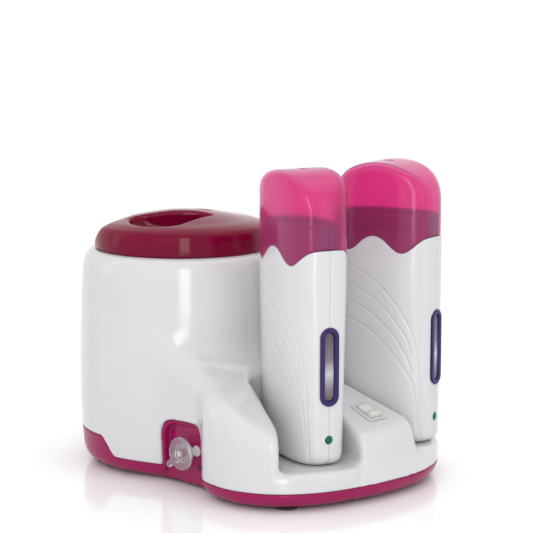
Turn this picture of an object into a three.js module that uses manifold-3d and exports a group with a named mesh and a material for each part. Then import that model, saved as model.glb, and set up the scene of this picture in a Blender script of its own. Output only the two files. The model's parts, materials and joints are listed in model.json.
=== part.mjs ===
// Depilatory wax station: a heated wax pot with a lift-off lid and bucket, and a dock that
// holds two roll-on cartridge heaters with push-on caps. Millimetres, +Z up, +X towards the
// dock's nose, and the control panel faces -Y. The origin is on the table under the middle
// of the object's box.
import * as THREE from 'three';
import { mergeVertices } from 'three/addons/utils/BufferGeometryUtils.js';
import Module from 'manifold-3d';

const wasm = await Module();
wasm.setup();

// ---------------------------------------------------------------- driving dimensions
const GAP = 0.3;                    // clearance between pieces that touch
const WALL = 2.8;                   // moulded wall of the housing
const BASE_Z = 2;                   // underside of the base tray
const SPLIT_Z = 12;                 // joint line between tray and upper housing
const SKIRT_Z = 25;                 // joint line round the back of the pot, where the tray rises
const EDGE_ROUND = 8;               // rounding round the bottom of the tray

const POT = { x: -52.5, y: -22.5 }; // axis of the wax pot
const POT_TOP = 146.8;
const POT_MOUTH = 54;
const POT_PROFILE = [[68.8, SPLIT_Z], [70.2, 30], [70.9, 60], [70.4, 92], [69.2, 122], [68, 136],
  [66.4, 142], [63.6, 145.6], [60.8, POT_TOP]];

const SLOPE = THREE.MathUtils.degToRad(21.5); // dock top falls towards the nose
const SWITCH = { x: 91.9, y: 11.5, z: 49.6 }; // rocker switch, on the sloping top

const PANEL = { y: -74.5, x0: -8, x1: 33, top: 43.4, round: 7, depth: 2.8, hidden: 5 };
const KNOB = { x: 13.3, z: 23.5, r: 11, front: -84, thick: 3.6 };

const ROLL = {                      // one roll-on heater, standing in its pocket
  x: 70.5, spread: 39.2, splay: THREE.MathUtils.degToRad(15.85), floor: 24.6,
  halfWidth: 36.4, halfDepth: 21.2, power: 2.7, wall: 2.2,
  neckTop: 151.6, capTop: 185, capShoulder: 158,
  waveLow: 126.7, waveHigh: 137, sleeve: { u: 27.5, v: 14.5, wall: 1.2, z0: 22, z1: 147 },
};
const POCKET = {                    // in the roll-on's own plan
  halfWidth: 21.8, centre: -20, reach: 18.2,
  flare: [[75, 52], [60, 48], [42, 36], [28, 28.5], [16, 25], [4, 23.4], [-10, 22]],
};
const WINDOW = { z: 63.7, length: 50.2, width: 13.2, lens: 7, plug: 1.4 };
const LAMP_Z = 17;                  // each roll-on's lamp, above its foot
const MARK = { x: 21, z: 25.4, r: 3.8 };      // round white mark on the control panel
const PILOT = { x: 24, z: 14.8, r: 1.6 };     // pilot lamp on the control panel
const FAR = 200;                    // further out than any part of the object

const WHITE = 0xe9e9ee;
const MAGENTA = 0x9c1f57;
const RUBY = 0xa01240;
const ALUMINIUM = 0xc4c6c8;

// ---------------------------------------------------------------- solids and booleans
function solid(geometry) {
  const bare = new THREE.BufferGeometry();
  bare.setAttribute('position', geometry.getAttribute('position').clone());
  if (geometry.index) bare.setIndex(geometry.index.clone());
  const merged = mergeVertices(bare, 1e-3);
  const points = merged.getAttribute('position').array;
  const kept = [];
  for (let i = 0; i < merged.index.count; i += 3) {
    const [a, b, c] = [0, 1, 2].map((k) => merged.index.getX(i + k));
    if (a !== b && b !== c && c !== a) kept.push(a, b, c);
  }
  if (signedVolume(points, kept) < 0) kept.reverse();
  const mesh = new wasm.Mesh({
    numProp: 3,
    vertProperties: new Float32Array(points),
    triVerts: new Uint32Array(kept),
  });
  return new wasm.Manifold(mesh);
}

function signedVolume(points, index) {
  const [a, b, c] = [new THREE.Vector3(), new THREE.Vector3(), new THREE.Vector3()];
  let sum = 0;
  for (let i = 0; i < index.length; i += 3) {
    a.fromArray(points, 3 * index[i]);
    b.fromArray(points, 3 * index[i + 1]);
    c.fromArray(points, 3 * index[i + 2]);
    sum += a.dot(b.cross(c));
  }
  return sum;
}

function geometryOf(manifold) {
  const { vertProperties, triVerts, numProp } = manifold.getMesh();
  const position = new Float32Array((vertProperties.length / numProp) * 3);
  for (let i = 0; i < position.length / 3; i += 1) {
    for (let k = 0; k < 3; k += 1) position[3 * i + k] = vertProperties[numProp * i + k];
  }
  const geometry = new THREE.BufferGeometry();
  geometry.setAttribute('position', new THREE.BufferAttribute(position, 3));
  geometry.setIndex(Array.from(triVerts));
  geometry.computeVertexNormals();
  return geometry;
}

const join = (first, ...rest) => rest.reduce((sum, piece) => sum.add(piece), first);
const cut = (first, ...rest) => rest.reduce((sum, piece) => sum.subtract(piece), first);

function box(x0, x1, y0, y1, z0, z1) {
  const geometry = new THREE.BoxGeometry(x1 - x0, y1 - y0, z1 - z0);
  return solid(geometry.translate((x0 + x1) / 2, (y0 + y1) / 2, (z0 + z1) / 2));
}

function cylinder(r, z0, z1, x = 0, y = 0, segments = 20) {
  const geometry = new THREE.CylinderGeometry(r, r, z1 - z0, segments).rotateX(Math.PI / 2);
  return solid(geometry.translate(x, y, (z0 + z1) / 2));
}

// A slab wider than the whole object.
const slab = (z0, z1) => box(-FAR, FAR, -FAR, FAR, z0, z1);

// A pin or hole along Y, from y0 to y1.
function pinY(r, y0, y1, x, z, segments = 20) {
  const geometry = new THREE.CylinderGeometry(r, r, y1 - y0, segments);
  return solid(geometry.translate(x, (y0 + y1) / 2, z));
}

// A pin or hole along X, from x0 to x1.
function pinX(r, x0, x1, y, z, segments = 16) {
  const geometry = new THREE.CylinderGeometry(r, r, x1 - x0, segments).rotateZ(Math.PI / 2);
  return solid(geometry.translate((x0 + x1) / 2, y, z));
}

// A solid of revolution about a vertical axis. The profile is a closed list of [radius, z].
function turned(profile, segments = 44, x = 0, y = 0) {
  const points = profile.map(([r, z]) => new THREE.Vector2(r, z));
  const ends = [points[0], points[points.length - 1]];
  if (ends.some((p) => p.x > 0)) points.push(points[0].clone());
  const geometry = new THREE.LatheGeometry(points, segments).rotateX(Math.PI / 2);
  return solid(geometry.translate(x, y, 0));
}

function prism(outline, z0, z1, options = {}) {
  const shape = new THREE.Shape(outline.map(([x, y]) => new THREE.Vector2(x, y)));
  const settings = { depth: z1 - z0, bevelEnabled: false, curveSegments: 8, ...options };
  return solid(new THREE.ExtrudeGeometry(shape, settings).translate(0, 0, z0));
}

// Moves every point of a closed outline along its own normal; positive is outwards.
function offset(outline, distance) {
  const count = outline.length;
  let area = 0;
  for (let i = 0; i < count; i += 1) {
    const [[x0, y0], [x1, y1]] = [outline[i], outline[(i + 1) % count]];
    area += x0 * y1 - x1 * y0;
  }
  const side = Math.sign(area) * distance;
  return outline.map(([x, y], i) => {
    const [ax, ay] = outline[(i + count - 1) % count];
    const [bx, by] = outline[(i + 1) % count];
    const before = new THREE.Vector2(y - ay, ax - x).normalize();
    const after = new THREE.Vector2(by - y, x - bx).normalize();
    const normal = before.clone().add(after).normalize();
    const reach = side / Math.max(normal.dot(before), 0.5);
    return [x + normal.x * reach, y + normal.y * reach];
  });
}

const material = (color, roughness = 0.4, metalness = 0, opacity = 1) =>
  new THREE.MeshStandardMaterial({ color, roughness, metalness, opacity, transparent: opacity < 1 });

function piece(name, manifold, finish) {
  const mesh = new THREE.Mesh(geometryOf(manifold), finish);
  mesh.name = name;
  return mesh;
}

const finishes = {
  white: material(WHITE, 0.25),
  magenta: material(MAGENTA, 0.3),
  ruby: material(RUBY, 0.15, 0, 0.8),
  pink: material(0xd8347f, 0.2, 0, 0.8),
  clear: material(0xdfe3e6, 0.1, 0, 0.5),
  cream: material(0xeeeadc, 0.35),
  indigo: material(0x41306e, 0.35),
  green: material(0x00794f, 0.2),
  black: material(0x1d1d20, 0.5),
  rubber: material(0x2a2a2c, 0.9),
  aluminium: material(ALUMINIUM, 0.35, 1),
  steel: material(0x9fa1a3, 0.3, 1),
  brass: material(0xb79452, 0.35, 1),
  ceramic: material(0xe8e2d4, 0.8),
  mica: material(0xa8987c, 0.7),
  wire: material(0x8a3038, 0.6),
};

// ---------------------------------------------------------------- outlines
// Plan outline of the dock, from the waist beside the control panel round the nose and back
// to the pot. The ends lie inside the round pot.
function dockOutline() {
  const spine = [[-34, -77], [8, -77.2], [24, -77.8], [33, -81.5], [42, -87.5], [56, -90.8], [74, -90],
    [97, -78.5], [114, -54], [122, -20], [123.5, 8], [118, 41], [100, 70], [72, 89.5], [44, 93],
    [18, 84], [-2, 63], [-24, 38]];
  const curve = new THREE.CatmullRomCurve3(spine.map(([x, y]) => new THREE.Vector3(x, y, 0)));
  return curve.getPoints(46).map((p) => [p.x, p.y]);
}

// Plan outline of a roll-on's pocket in its own frame: closed round the inner end, open to
// the nose, and flared on the outer side (side is -1 or +1 along local Y).
function pocketOutline(side) {
  const { halfWidth, centre, reach } = POCKET;
  const bow = (value) => Math.sign(value) * Math.abs(value) ** 0.75;
  const outline = [];
  for (let i = 0; i <= 10; i += 1) {
    const turn = Math.PI / 2 + (i / 10) * Math.PI;
    outline.push([centre + reach * bow(Math.cos(turn)), side * -halfWidth * bow(Math.sin(turn))]);
  }
  const flare = POCKET.flare.map(([u, v]) => [u, side * v]);
  return [...outline.reverse(), [flare[0][0], side * -halfWidth], ...flare];
}

function placed(outline, x, y, angle) {
  const [c, s] = [Math.cos(angle), Math.sin(angle)];
  return outline.map(([u, v]) => [x + u * c - v * s, y + u * s + v * c]);
}

// side -1 is the heater nearer the control panel, side +1 the other one.
const rollY = (side) => SWITCH.y + side * ROLL.spread;
const pocket = (side) => placed(pocketOutline(side), ROLL.x, rollY(side), side * ROLL.splay);

// Upright outline of the control panel's slot: square at the foot, rounded at the top.
const PANEL_FOOT = SPLIT_Z - 4;

function panelOutline(grow, x1) {
  const { x0, top, round } = PANEL;
  const shape = new THREE.Shape();
  shape.moveTo(x0 - grow, PANEL_FOOT);
  shape.lineTo(x1 + grow, PANEL_FOOT);
  shape.lineTo(x1 + grow, top - round);
  shape.quadraticCurveTo(x1 + grow, top + grow, x1 - round, top + grow);
  shape.lineTo(x0 + round, top + grow);
  shape.quadraticCurveTo(x0 - grow, top + grow, x0 - grow, top - round);
  return shape;
}

// The panel's outline extruded along Y from y0 to y1.
function panelBlock(y0, y1, grow, x1 = PANEL.x1) {
  const settings = { depth: y1 - y0, bevelEnabled: false, curveSegments: 4 };
  const geometry = new THREE.ExtrudeGeometry(panelOutline(grow, x1), settings);
  return solid(geometry.rotateX(Math.PI / 2).translate(0, y1, 0));
}

// Everything under the dock's sloping top, lowered by drop.
function underSlope(drop) {
  const geometry = new THREE.BoxGeometry(500, 400, 300).translate(0, 0, -150 - drop);
  return solid(geometry.rotateY(SLOPE).translate(SWITCH.x, 0, SWITCH.z));
}

// The sector round the left and back of the pot where the tray rises to SKIRT_Z.
function skirtSector(r, z0, z1) {
  const [from, to] = [THREE.MathUtils.degToRad(74), THREE.MathUtils.degToRad(272)];
  const outline = [[POT.x, POT.y]];
  for (let i = 0; i <= 12; i += 1) {
    const angle = from + ((to - from) * i) / 12;
    outline.push([POT.x + r * Math.cos(angle), POT.y + r * Math.sin(angle)]);
  }
  return prism(outline, z0, z1);
}

// ---------------------------------------------------------------- housing
// Screw bosses: two stand off the pot's wall on ribs, two hang from the dock's top.
const POT_BOSSES = [215, 145].map((turn) => THREE.MathUtils.degToRad(turn));
const BOSS = { out: 57, r: 4.5, pilotHole: 1.7, screwHole: 2.1, headHole: 3.9, foot: 9 };
const BOSSES = [
  ...POT_BOSSES.map((turn) => [POT.x + BOSS.out * Math.cos(turn), POT.y + BOSS.out * Math.sin(turn)]),
  [48, -74], [48, 76],
];
const CONNECTOR = { halfX: 9, halfY: 5 };

function connectorHole(side, grow) {
  const { halfX, halfY } = CONNECTOR;
  const corners = [[-1, -1], [1, -1], [1, 1], [-1, 1]];
  const outline = corners.map(([a, b]) => [a * (halfX + grow), b * (halfY + grow)]);
  return placed(outline, ROLL.x, rollY(side), side * ROLL.splay);
}

function bossRib(turn) {
  const rib = new THREE.BoxGeometry(13, 2.4, 20).translate(62, 0, 34).rotateZ(turn);
  return solid(rib.translate(POT.x, POT.y, 0));
}

function upperHousing() {
  const dock = dockOutline();
  const [floor, high, ceiling] = [ROLL.floor - GAP, 130, 143.6];
  const potOuter = turned([[0, SPLIT_Z], ...POT_PROFILE, [0, POT_TOP]], 44, POT.x, POT.y);
  const dockOuter = prism(dock, SPLIT_Z, high).intersect(underSlope(0));
  const innerProfile = POT_PROFILE.slice(0, -1).map(([r, z]) => [r - WALL, Math.min(z, ceiling)]);
  const potInner = turned([[0, SPLIT_Z - 1], [innerProfile[0][0], SPLIT_Z - 1], ...innerProfile,
    [0, ceiling]], 44, POT.x, POT.y);
  const dockInner = prism(offset(dock, -WALL), SPLIT_Z - 1, high).intersect(underSlope(WALL));
  let cavity = join(potInner, dockInner);
  const outside = join(potOuter, dockOuter, slab(0, SPLIT_Z));
  let shell = join(potOuter, dockOuter);
  for (const side of [-1, 1]) {
    cavity = cut(cavity, prism(offset(pocket(side), WALL), floor - WALL, high + 1));
    shell = cut(shell, prism(pocket(side), floor, high + 2));
  }
  shell = cut(shell, cavity, cylinder(POT_MOUTH, 130, 160, POT.x, POT.y, 48));
  BOSSES.forEach(([x, y], i) => {
    const top = i < POT_BOSSES.length ? 44 : 90;
    let boss = cylinder(BOSS.r, BOSS.foot, top, x, y, 12);
    if (i < POT_BOSSES.length) boss = join(boss, bossRib(POT_BOSSES[i]));
    shell = cut(join(shell, boss.intersect(outside)), cylinder(BOSS.pilotHole, 0, 24, x, y, 8));
  });
  for (const side of [-1, 1]) shell = cut(shell, prism(connectorHole(side, GAP), 10, 40));
  const bossFeet = join(...BOSSES.map(([x, y]) => cylinder(BOSS.r + 0.1, 0, 20, x, y, 12)));
  return cut(shell, skirtSector(FAR, 0, SKIRT_Z + GAP), slab(0, SPLIT_Z + GAP).subtract(bossFeet),
    panelBlock(-FAR, PANEL.y + PANEL.depth + 1, GAP), switchCut());
}

function switchCut() {
  const geometry = new THREE.BoxGeometry(17.2, 13.2, 30).rotateY(SLOPE);
  return solid(geometry.translate(SWITCH.x, SWITCH.y, SWITCH.z));
}

function baseTray() {
  const dock = dockOutline();
  const bottom = { bevelEnabled: true, bevelThickness: EDGE_ROUND, bevelSize: 6, bevelOffset: -6,
    bevelSegments: 2 };
  const dockFoot = prism(dock, BASE_Z + EDGE_ROUND, SPLIT_Z + 20, bottom);
  const potFoot = turned([[0, BASE_Z], [62, BASE_Z], [65.6, 4], [67.8, 7.4], [68.8, SPLIT_Z],
    [69.9, SKIRT_Z], [0, SKIRT_Z]], 44, POT.x, POT.y);
  const low = slab(0, SPLIT_Z);
  let tray = join(potFoot.intersect(join(low, skirtSector(FAR, 0, SKIRT_Z))), dockFoot.intersect(low));
  const innerDock = prism(offset(dock, -6 - WALL), BASE_Z + WALL, 60);
  const innerPot = turned([[0, BASE_Z + WALL], [60, BASE_Z + WALL], [65.8, SPLIT_Z],
    [66.8, SKIRT_Z + 5], [0, SKIRT_Z + 5]], 44, POT.x, POT.y);
  tray = cut(tray, innerPot, innerDock);
  const panel = panelBlock(PANEL.y, PANEL.y + PANEL.depth, 0, PANEL.x1 + PANEL.hidden);
  const shelf = box(-30, 34, -71, -60, BASE_Z + 1, BASE_Z + 5);
  const front = panelBlock(-FAR, PANEL.y, 0).intersect(box(PANEL.x0 + 0.1, FAR, -FAR, 0, PANEL_FOOT, 60));
  tray = cut(join(tray, panel, shelf), front);
  for (const [x, y] of BOSSES) {
    tray = join(tray, cylinder(5, 3, BOSS.foot - 0.4, x, y, 12));
    tray = cut(tray, cylinder(BOSS.screwHole, 0, 20, x, y, 10), cylinder(BOSS.headHole, 0, 5.6, x, y, 12));
  }
  const holeY = (r, { x, z }, depth) => pinY(r + GAP, -90, PANEL.y + depth, x, z, 12);
  return cut(tray, holeY(PILOT.r, PILOT, 14), holeY(2.9, KNOB, 14), holeY(MARK.r, MARK, 1.3), inletCut());
}

// ---------------------------------------------------------------- pot internals
const WELL = { r: 51, wall: 1.2, z0: 56, z1: 141.2 };

function heatingWell() {
  const { r, wall, z0, z1 } = WELL;
  const flange = 57.5;
  return turned([[0, z0], [r - 6, z0], [r, z0 + 6], [r, z1 - wall], [flange, z1 - wall],
    [flange, z1], [r - wall, z1], [r - wall, z0 + 6.4], [r - 6.4, z0 + wall], [0, z0 + wall]],
  36, POT.x, POT.y);
}

function wellRing() {
  return turned([[58, 136], [60.4, 136], [60.4, 143.2], [53, 143.2], [53, 141.6], [58, 141.6]],
    32, POT.x, POT.y);
}

// Clamped round the well, with a gap at the front for its buckle.
function heaterBand() {
  const band = turned([[51.4, 70], [54, 70], [54, 110], [51.4, 110]], 32, POT.x, POT.y);
  return cut(band, box(POT.x - 5, POT.x + 5, POT.y - 60, POT.y - 40, 60, 120));
}

function insulationSleeve() {
  return turned([[56, 62], [60, 62], [60, 130], [56, 130]], 32, POT.x, POT.y);
}

function innerBucket() {
  const [r, wall, z0, z1] = [48.6, 0.8, WELL.z0 + 1.6, 143.2];
  return turned([[0, z0], [r - 7, z0], [r, z0 + 7], [r, z1 - 1.4], [52.2, z1 - 1.4], [52.6, z1],
    [r - wall, z1], [r - wall, z0 + 7.3], [r - 7.3, z0 + wall], [0, z0 + wall]], 36, POT.x, POT.y);
}

// ---------------------------------------------------------------- lid
// A shallow dome with a crease above its skirt. Two finger hollows leave a grip bar between
// them, and the back left of the dome falls away in a sloping flat.
const LID = {
  r: 60, z0: POT_TOP + GAP, wall: 2, top: 172.4, gripTurn: THREE.MathUtils.degToRad(47),
  profile: [[60, 151], [59.2, 158], [57.2, 163.6], [50, 165.3], [41, 166.9], [30, 169], [18, 170.9],
    [8, 172.1]],
};
// Plan outline of the hollow in front of the grip bar, as distances along and across the bar.
const HOLLOW = [[-36, -18], [-34, -29], [-27, -39], [-16, -44.5], [-4, -42], [6, -32], [14, -21],
  [20, -12.5], [14, -9], [-28, -9], [-34, -12]];
const HOLLOW_BOWL = { x: -5, y: -14, z: 180, side: 44, depth: 23.5 };
const BAR_MIDDLE = -2;
const LID_FLAT = { turn: THREE.MathUtils.degToRad(199), fall: Math.atan(0.937), out: 36.6, z: 164.4,
  foot: 150.5 };

// One finger hollow, in front of the bar (side -1) or behind it (side +1).
function hollow(side, grow) {
  const { x, y, z, side: width, depth } = HOLLOW_BOWL;
  const across = (value) => BAR_MIDDLE - side * (value - BAR_MIDDLE);
  const outline = offset(HOLLOW.map(([a, b]) => [a, across(b)]), grow);
  const bowl = new THREE.SphereGeometry(1, 28, 14).scale(width + grow, width + grow, depth + grow);
  const shape = prism(outline, 140, 178).intersect(solid(bowl.translate(x, across(y), z)));
  return shape.rotate([0, 0, THREE.MathUtils.radToDeg(LID.gripTurn)]).translate([POT.x, POT.y, 0]);
}

function lidFlat(grow) {
  const { turn, fall, out, z, foot: lowest } = LID_FLAT;
  const above = new THREE.BoxGeometry(200, 200, 100).translate(0, 0, 50 - grow).rotateY(fall);
  above.translate(out, 0, z).rotateZ(turn).translate(POT.x, POT.y, 0);
  return solid(above).intersect(slab(lowest - grow, 300));
}

function potLid() {
  const { r, z0, wall, top, profile } = LID;
  const outer = turned([[0, z0], [r, z0], ...profile, [0, top]], 40, POT.x, POT.y);
  const shrunk = offset([[-1, z0], [r, z0], ...profile, [-1, top]], -wall).slice(2, -1);
  const inner = turned([[0, z0 - 1], [r - wall, z0 - 1], ...shrunk, [0, top - wall]], 40, POT.x, POT.y);
  const cuts = (grow) => join(hollow(-1, grow), hollow(1, grow), lidFlat(grow));
  return cut(outer, cuts(0), cut(inner, cuts(wall)));
}

// ---------------------------------------------------------------- dock fittings
function tilted(mesh) {
  mesh.position.set(SWITCH.x, SWITCH.y, SWITCH.z);
  mesh.rotation.y = SLOPE;
  return mesh;
}

// The switch's pieces are drawn on a level top at z = 0 and tilted with the slope.
function switchFrame() {
  const flange = cut(box(-10, 10, -8.3, 8.3, GAP, 1.3), box(-7.3, 7.3, -5.2, 5.2, -1, 3));
  const neck = cut(box(-8.3, 8.3, -6.3, 6.3, -12, GAP + 0.1), box(-7.3, 7.3, -5.2, 5.2, -10, 2));
  return join(flange, neck);
}

function rockerButton() {
  const profile = new THREE.Shape();
  profile.moveTo(-6.5, 1.5);
  profile.lineTo(-5, -3);
  profile.absarc(0, -3, 3, Math.PI, Math.PI * 2, false);
  profile.lineTo(5, -3);
  profile.lineTo(6.5, 1.5);
  profile.lineTo(6.3, 3.2);
  profile.lineTo(0, 1.9);
  profile.lineTo(-6.3, 3.2);
  const settings = { depth: 9.6, bevelEnabled: false, curveSegments: 6 };
  const geometry = new THREE.ExtrudeGeometry(profile, settings);
  return solid(geometry.rotateX(Math.PI / 2).translate(0, 4.8, 0));
}

function dockConnector() {
  const { halfX, halfY } = CONNECTOR;
  const foot = box(-halfX, halfX, -halfY, halfY, -8, -0.6);
  const tongue = box(-6, 6, -2, 2, -1, 4);
  return join(foot, tongue);
}

// ---------------------------------------------------------------- control panel fittings
// A clear dial: a disc held off the panel by a hub, a pointer lug at its lower left and a
// shaft into the thermostat.
function thermostatKnob() {
  const { x, z, r, front, thick } = KNOB;
  const back = PANEL.y - 1;
  const disc = pinY(r, front, front + thick, x, z, 32);
  const hub = pinY(r * 0.5, front + thick - 1, back, x, z, 24);
  const lug = new THREE.BoxGeometry(8, thick - 1, 4).translate(-r - 1, front + thick / 2 + 0.5, 0);
  lug.applyMatrix4(new THREE.Matrix4().makeRotationY(THREE.MathUtils.degToRad(-38)));
  const shaft = pinY(2.8, back - 1, PANEL.y + 8, x, z, 12);
  const screwWell = pinY(3, front - 1, front + 2, x, z, 12);
  return cut(join(disc, hub, solid(lug.translate(x, 0, z)), shaft), screwWell);
}

function knobScrew() {
  const { x, z, front } = KNOB;
  const head = pinY(2.6, front + 0.2, front + 1.7, x, z, 14);
  return cut(head, box(x - 3, x + 3, front - 1, front + 0.8, z - 0.4, z + 0.4));
}

function thermostatBody() {
  const [y0, y1] = [PANEL.y + PANEL.depth + GAP, PANEL.y + 18];
  const drum = pinY(9, y0, y1, KNOB.x, KNOB.z, 20);
  return cut(drum, pinY(3.2, y0 - 1, y0 + 7, KNOB.x, KNOB.z, 12));
}

// ---------------------------------------------------------------- power inlet
const INLET = { x: POT.x, y: 43.5, z: 14.4, halfX: 12.5, halfZ: 7 };

function inletCut() {
  const { x, z, halfX, halfZ } = INLET;
  return box(x - halfX - GAP, x + halfX + GAP, 30, 60, z - halfZ - GAP, z + halfZ + GAP);
}

function powerInlet() {
  const { x, y, z, halfX, halfZ } = INLET;
  const block = box(x - halfX, x + halfX, y - 16, y + 2, z - halfZ, z + halfZ);
  const socket = join(pinY(4.4, y - 10, y + 3, x - 5, z, 16), pinY(4.4, y - 10, y + 3, x + 5, z, 16),
    box(x - 5, x + 5, y - 10, y + 3, z - 4.4, z + 4.4));
  const pins = join(pinY(1.5, y - 12, y, x - 4.3, z, 10), pinY(1.5, y - 12, y, x + 4.3, z, 10));
  return cut(block, socket, pins);
}

const inletPin = (side) => pinY(1.2, INLET.y - 9.7, INLET.y - 1, INLET.x + side * 4.3, INLET.z, 10);

// ---------------------------------------------------------------- roll-on heater
const signedPower = (value, power) => Math.sign(value) * Math.abs(value) ** power;

// A rounded section with straight flanks, stacked up through levels of [z, halfU, halfV].
function sectioned(levels, segments = 28) {
  const geometry = new THREE.CylinderGeometry(1, 1, 1, segments, levels.length - 1);
  const position = geometry.getAttribute('position');
  for (let i = 0; i < position.count; i += 1) {
    const [x, y, z] = [position.getX(i), position.getY(i), position.getZ(i)];
    const [height, halfU, halfV] = levels[Math.round((y + 0.5) * (levels.length - 1))];
    const turn = Math.atan2(z, x);
    const reach = Math.min(1, Math.hypot(x, z));
    const u = halfU * signedPower(Math.cos(turn), 2 / ROLL.power) * reach;
    const v = halfV * signedPower(Math.sin(turn), 2 / ROLL.power) * reach;
    position.setXYZ(i, u, v, height);
  }
  return solid(geometry);
}

const BODY_LEVELS = [[0, 31.4, 15], [1.2, 33.4, 16.8], [4, 34.4, 17.7], [9, 35, 18.1],
  [60, 35.8, 19.7], [112, 36.4, 21.2]];

const inset = (levels, wall) => levels.map(([z, u, v]) => [z, u - wall, v - wall]);

// Height of the wavy joint line: high at the middle of all four sides, low between them.
function waveHeight(turn) {
  const [mid, swing] = [(ROLL.waveHigh + ROLL.waveLow) / 2, (ROLL.waveHigh - ROLL.waveLow) / 2];
  const u = ROLL.halfWidth * Math.abs(signedPower(Math.cos(turn), 2 / ROLL.power));
  const along = Math.min(1, u / ROLL.halfWidth);
  return mid + swing * Math.cos(2 * Math.PI * along ** 1.12);
}

// A ring whose lower end follows the wave, lifted a little, used to trim the body and the cap.
function aboveWave(lift) {
  const [inner, outer, z0, z1] = [12, 60, 100, 200];
  const profile = [[inner, z0], [outer, z0], [outer, z1], [inner, z1], [inner, z0]];
  const points = profile.map(([r, z]) => new THREE.Vector2(r, z));
  const geometry = new THREE.LatheGeometry(points, 40).rotateX(Math.PI / 2);
  const position = geometry.getAttribute('position');
  for (let i = 0; i < position.count; i += 1) {
    if (position.getZ(i) > z0 + 1) continue;
    const turn = Math.atan2(position.getY(i) / ROLL.halfDepth, position.getX(i) / ROLL.halfWidth);
    position.setZ(i, waveHeight(turn) + lift);
  }
  return solid(geometry);
}

function capsuleX(x0, x1, z, length, width) {
  const [half, r] = [(length - width) / 2, width / 2];
  return join(box(x0, x1, -r, r, z - half, z + half), pinX(r, x0, x1, 0, z - half),
    pinX(r, x0, x1, 0, z + half));
}

function rollBody() {
  const { halfWidth, halfDepth, wall, neckTop } = ROLL;
  const full = sectioned([...BODY_LEVELS, [138, halfWidth, halfDepth]]);
  const neckIn = 2.6;
  const neck = sectioned([[118, halfWidth - neckIn, halfDepth - neckIn],
    [neckTop, halfWidth - neckIn, halfDepth - neckIn]]);
  const outer = join(cut(full, aboveWave(0)), neck);
  const neckBore = [halfWidth - 4.4, halfDepth - 4.4];
  const core = sectioned([...inset(BODY_LEVELS, wall).slice(1), [118, ...neckBore], [160, ...neckBore]]);
  const coreFromFloor = core.intersect(box(-60, 60, -60, 60, wall, 170));
  const looser = 2 * GAP - WINDOW.plug;
  const windowHole = capsuleX(30, 45, WINDOW.z, WINDOW.length + looser, WINDOW.width + looser);
  const lampHole = pinX(2.8, 25, 45, 0, LAMP_Z);
  const plugHole = box(-8, 8, -3.6, 3.6, -1, 4);
  return cut(outer, coreFromFloor, windowHole, lampHole, plugHole);
}

function rollCap() {
  const { halfWidth, halfDepth, capTop, capShoulder } = ROLL;
  const block = sectioned([[120, halfWidth, halfDepth], [150, halfWidth, halfDepth],
    [190, halfWidth - 0.4, halfDepth - 0.6]]);
  const arch = (grow) => {
    const shape = new THREE.Shape();
    shape.moveTo(-halfWidth - grow, 100);
    for (let i = 0; i <= 12; i += 1) {
      const turn = Math.PI * (1 - i / 12);
      const u = (halfWidth + grow) * signedPower(Math.cos(turn), 2 / 2.5);
      const rise = (capTop - capShoulder + grow) * signedPower(Math.sin(turn), 2 / 2.5);
      shape.lineTo(u, capShoulder + rise);
    }
    shape.lineTo(halfWidth + grow, 100);
    const depth = 2 * (halfDepth + grow) - 8;
    const rounded = { depth, bevelThickness: 4, bevelSize: 3, bevelOffset: -3, bevelSegments: 1 };
    const geometry = new THREE.ExtrudeGeometry(shape, rounded);
    return solid(geometry.rotateX(Math.PI / 2).translate(0, depth / 2, 0));
  };
  const hollow = sectioned([[110, halfWidth - 2, halfDepth - 2], [150, halfWidth - 2, halfDepth - 2],
    [190, halfWidth - 2.4, halfDepth - 2.6]]).intersect(arch(-1.8));
  const trim = join(aboveWave(GAP), cylinder(14, 145, 200));
  return cut(block.intersect(arch(0)), hollow).intersect(trim);
}

function heatingSleeve() {
  const { u, v, wall, z0, z1 } = ROLL.sleeve;
  const outer = sectioned([[z0, u, v], [z1, u, v]], 24);
  return cut(outer, sectioned([[z0 + wall, u - wall, v - wall], [z1 + 1, u - wall, v - wall]], 24));
}

function windowBezel() {
  const { z, length, width, lens, plug } = WINDOW;
  const flange = capsuleX(ROLL.halfWidth - 0.05, ROLL.halfWidth + 0.8, z, length, width);
  const body = capsuleX(33.2, ROLL.halfWidth, z, length - plug, width - plug);
  const slot = capsuleX(30, 40, z, length - width + lens, lens);
  return cut(join(flange, body), slot);
}

function windowLens() {
  const { z, length, width, lens } = WINDOW;
  return capsuleX(33.4, ROLL.halfWidth + 0.1, z, length - width + lens - 2 * GAP, lens - 2 * GAP);
}

function rollOn(label, side) {
  const group = new THREE.Group();
  group.position.set(ROLL.x, rollY(side), ROLL.floor);
  group.rotation.z = side * ROLL.splay;
  const name = (part) => `${label}_rollon_${part}`;
  const body = rollBody();
  const halves = [['near_shell', -60, -GAP / 2], ['far_shell', GAP / 2, 60]];
  for (const [part, y0, y1] of halves) {
    group.add(piece(name(part), body.intersect(box(-60, 60, y0, y1, -5, 170)), finishes.white));
  }
  group.add(piece(name('heating_sleeve'), heatingSleeve(), finishes.aluminium));
  group.add(piece(name('ptc_heater'), box(-30.4, -28, -9, 9, 40, 100), finishes.ceramic));
  group.add(piece(name('thermal_fuse'), box(-8, 8, -5, -1, 14, 20), finishes.brass));
  group.add(piece(name('socket'), cut(box(-11, 11, -7, 7, 4.5, 12), box(-7, 7, -3, 3, 4, 10)),
    finishes.black));
  group.add(piece(name('window_bezel'), windowBezel(), finishes.indigo));
  group.add(piece(name('window_lens'), windowLens(), finishes.clear));
  group.add(piece(name('led'), pinX(2.5, 29, ROLL.halfWidth - 0.6, 0, LAMP_Z, 16), finishes.green));
  group.add(piece(`${label}_cap`, rollCap(), finishes.pink));
  return group;
}

// ---------------------------------------------------------------- feet, screws and leads
const FEET = [[-78, -70], [-78, 25], [92, -62], [92, 58]];

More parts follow.
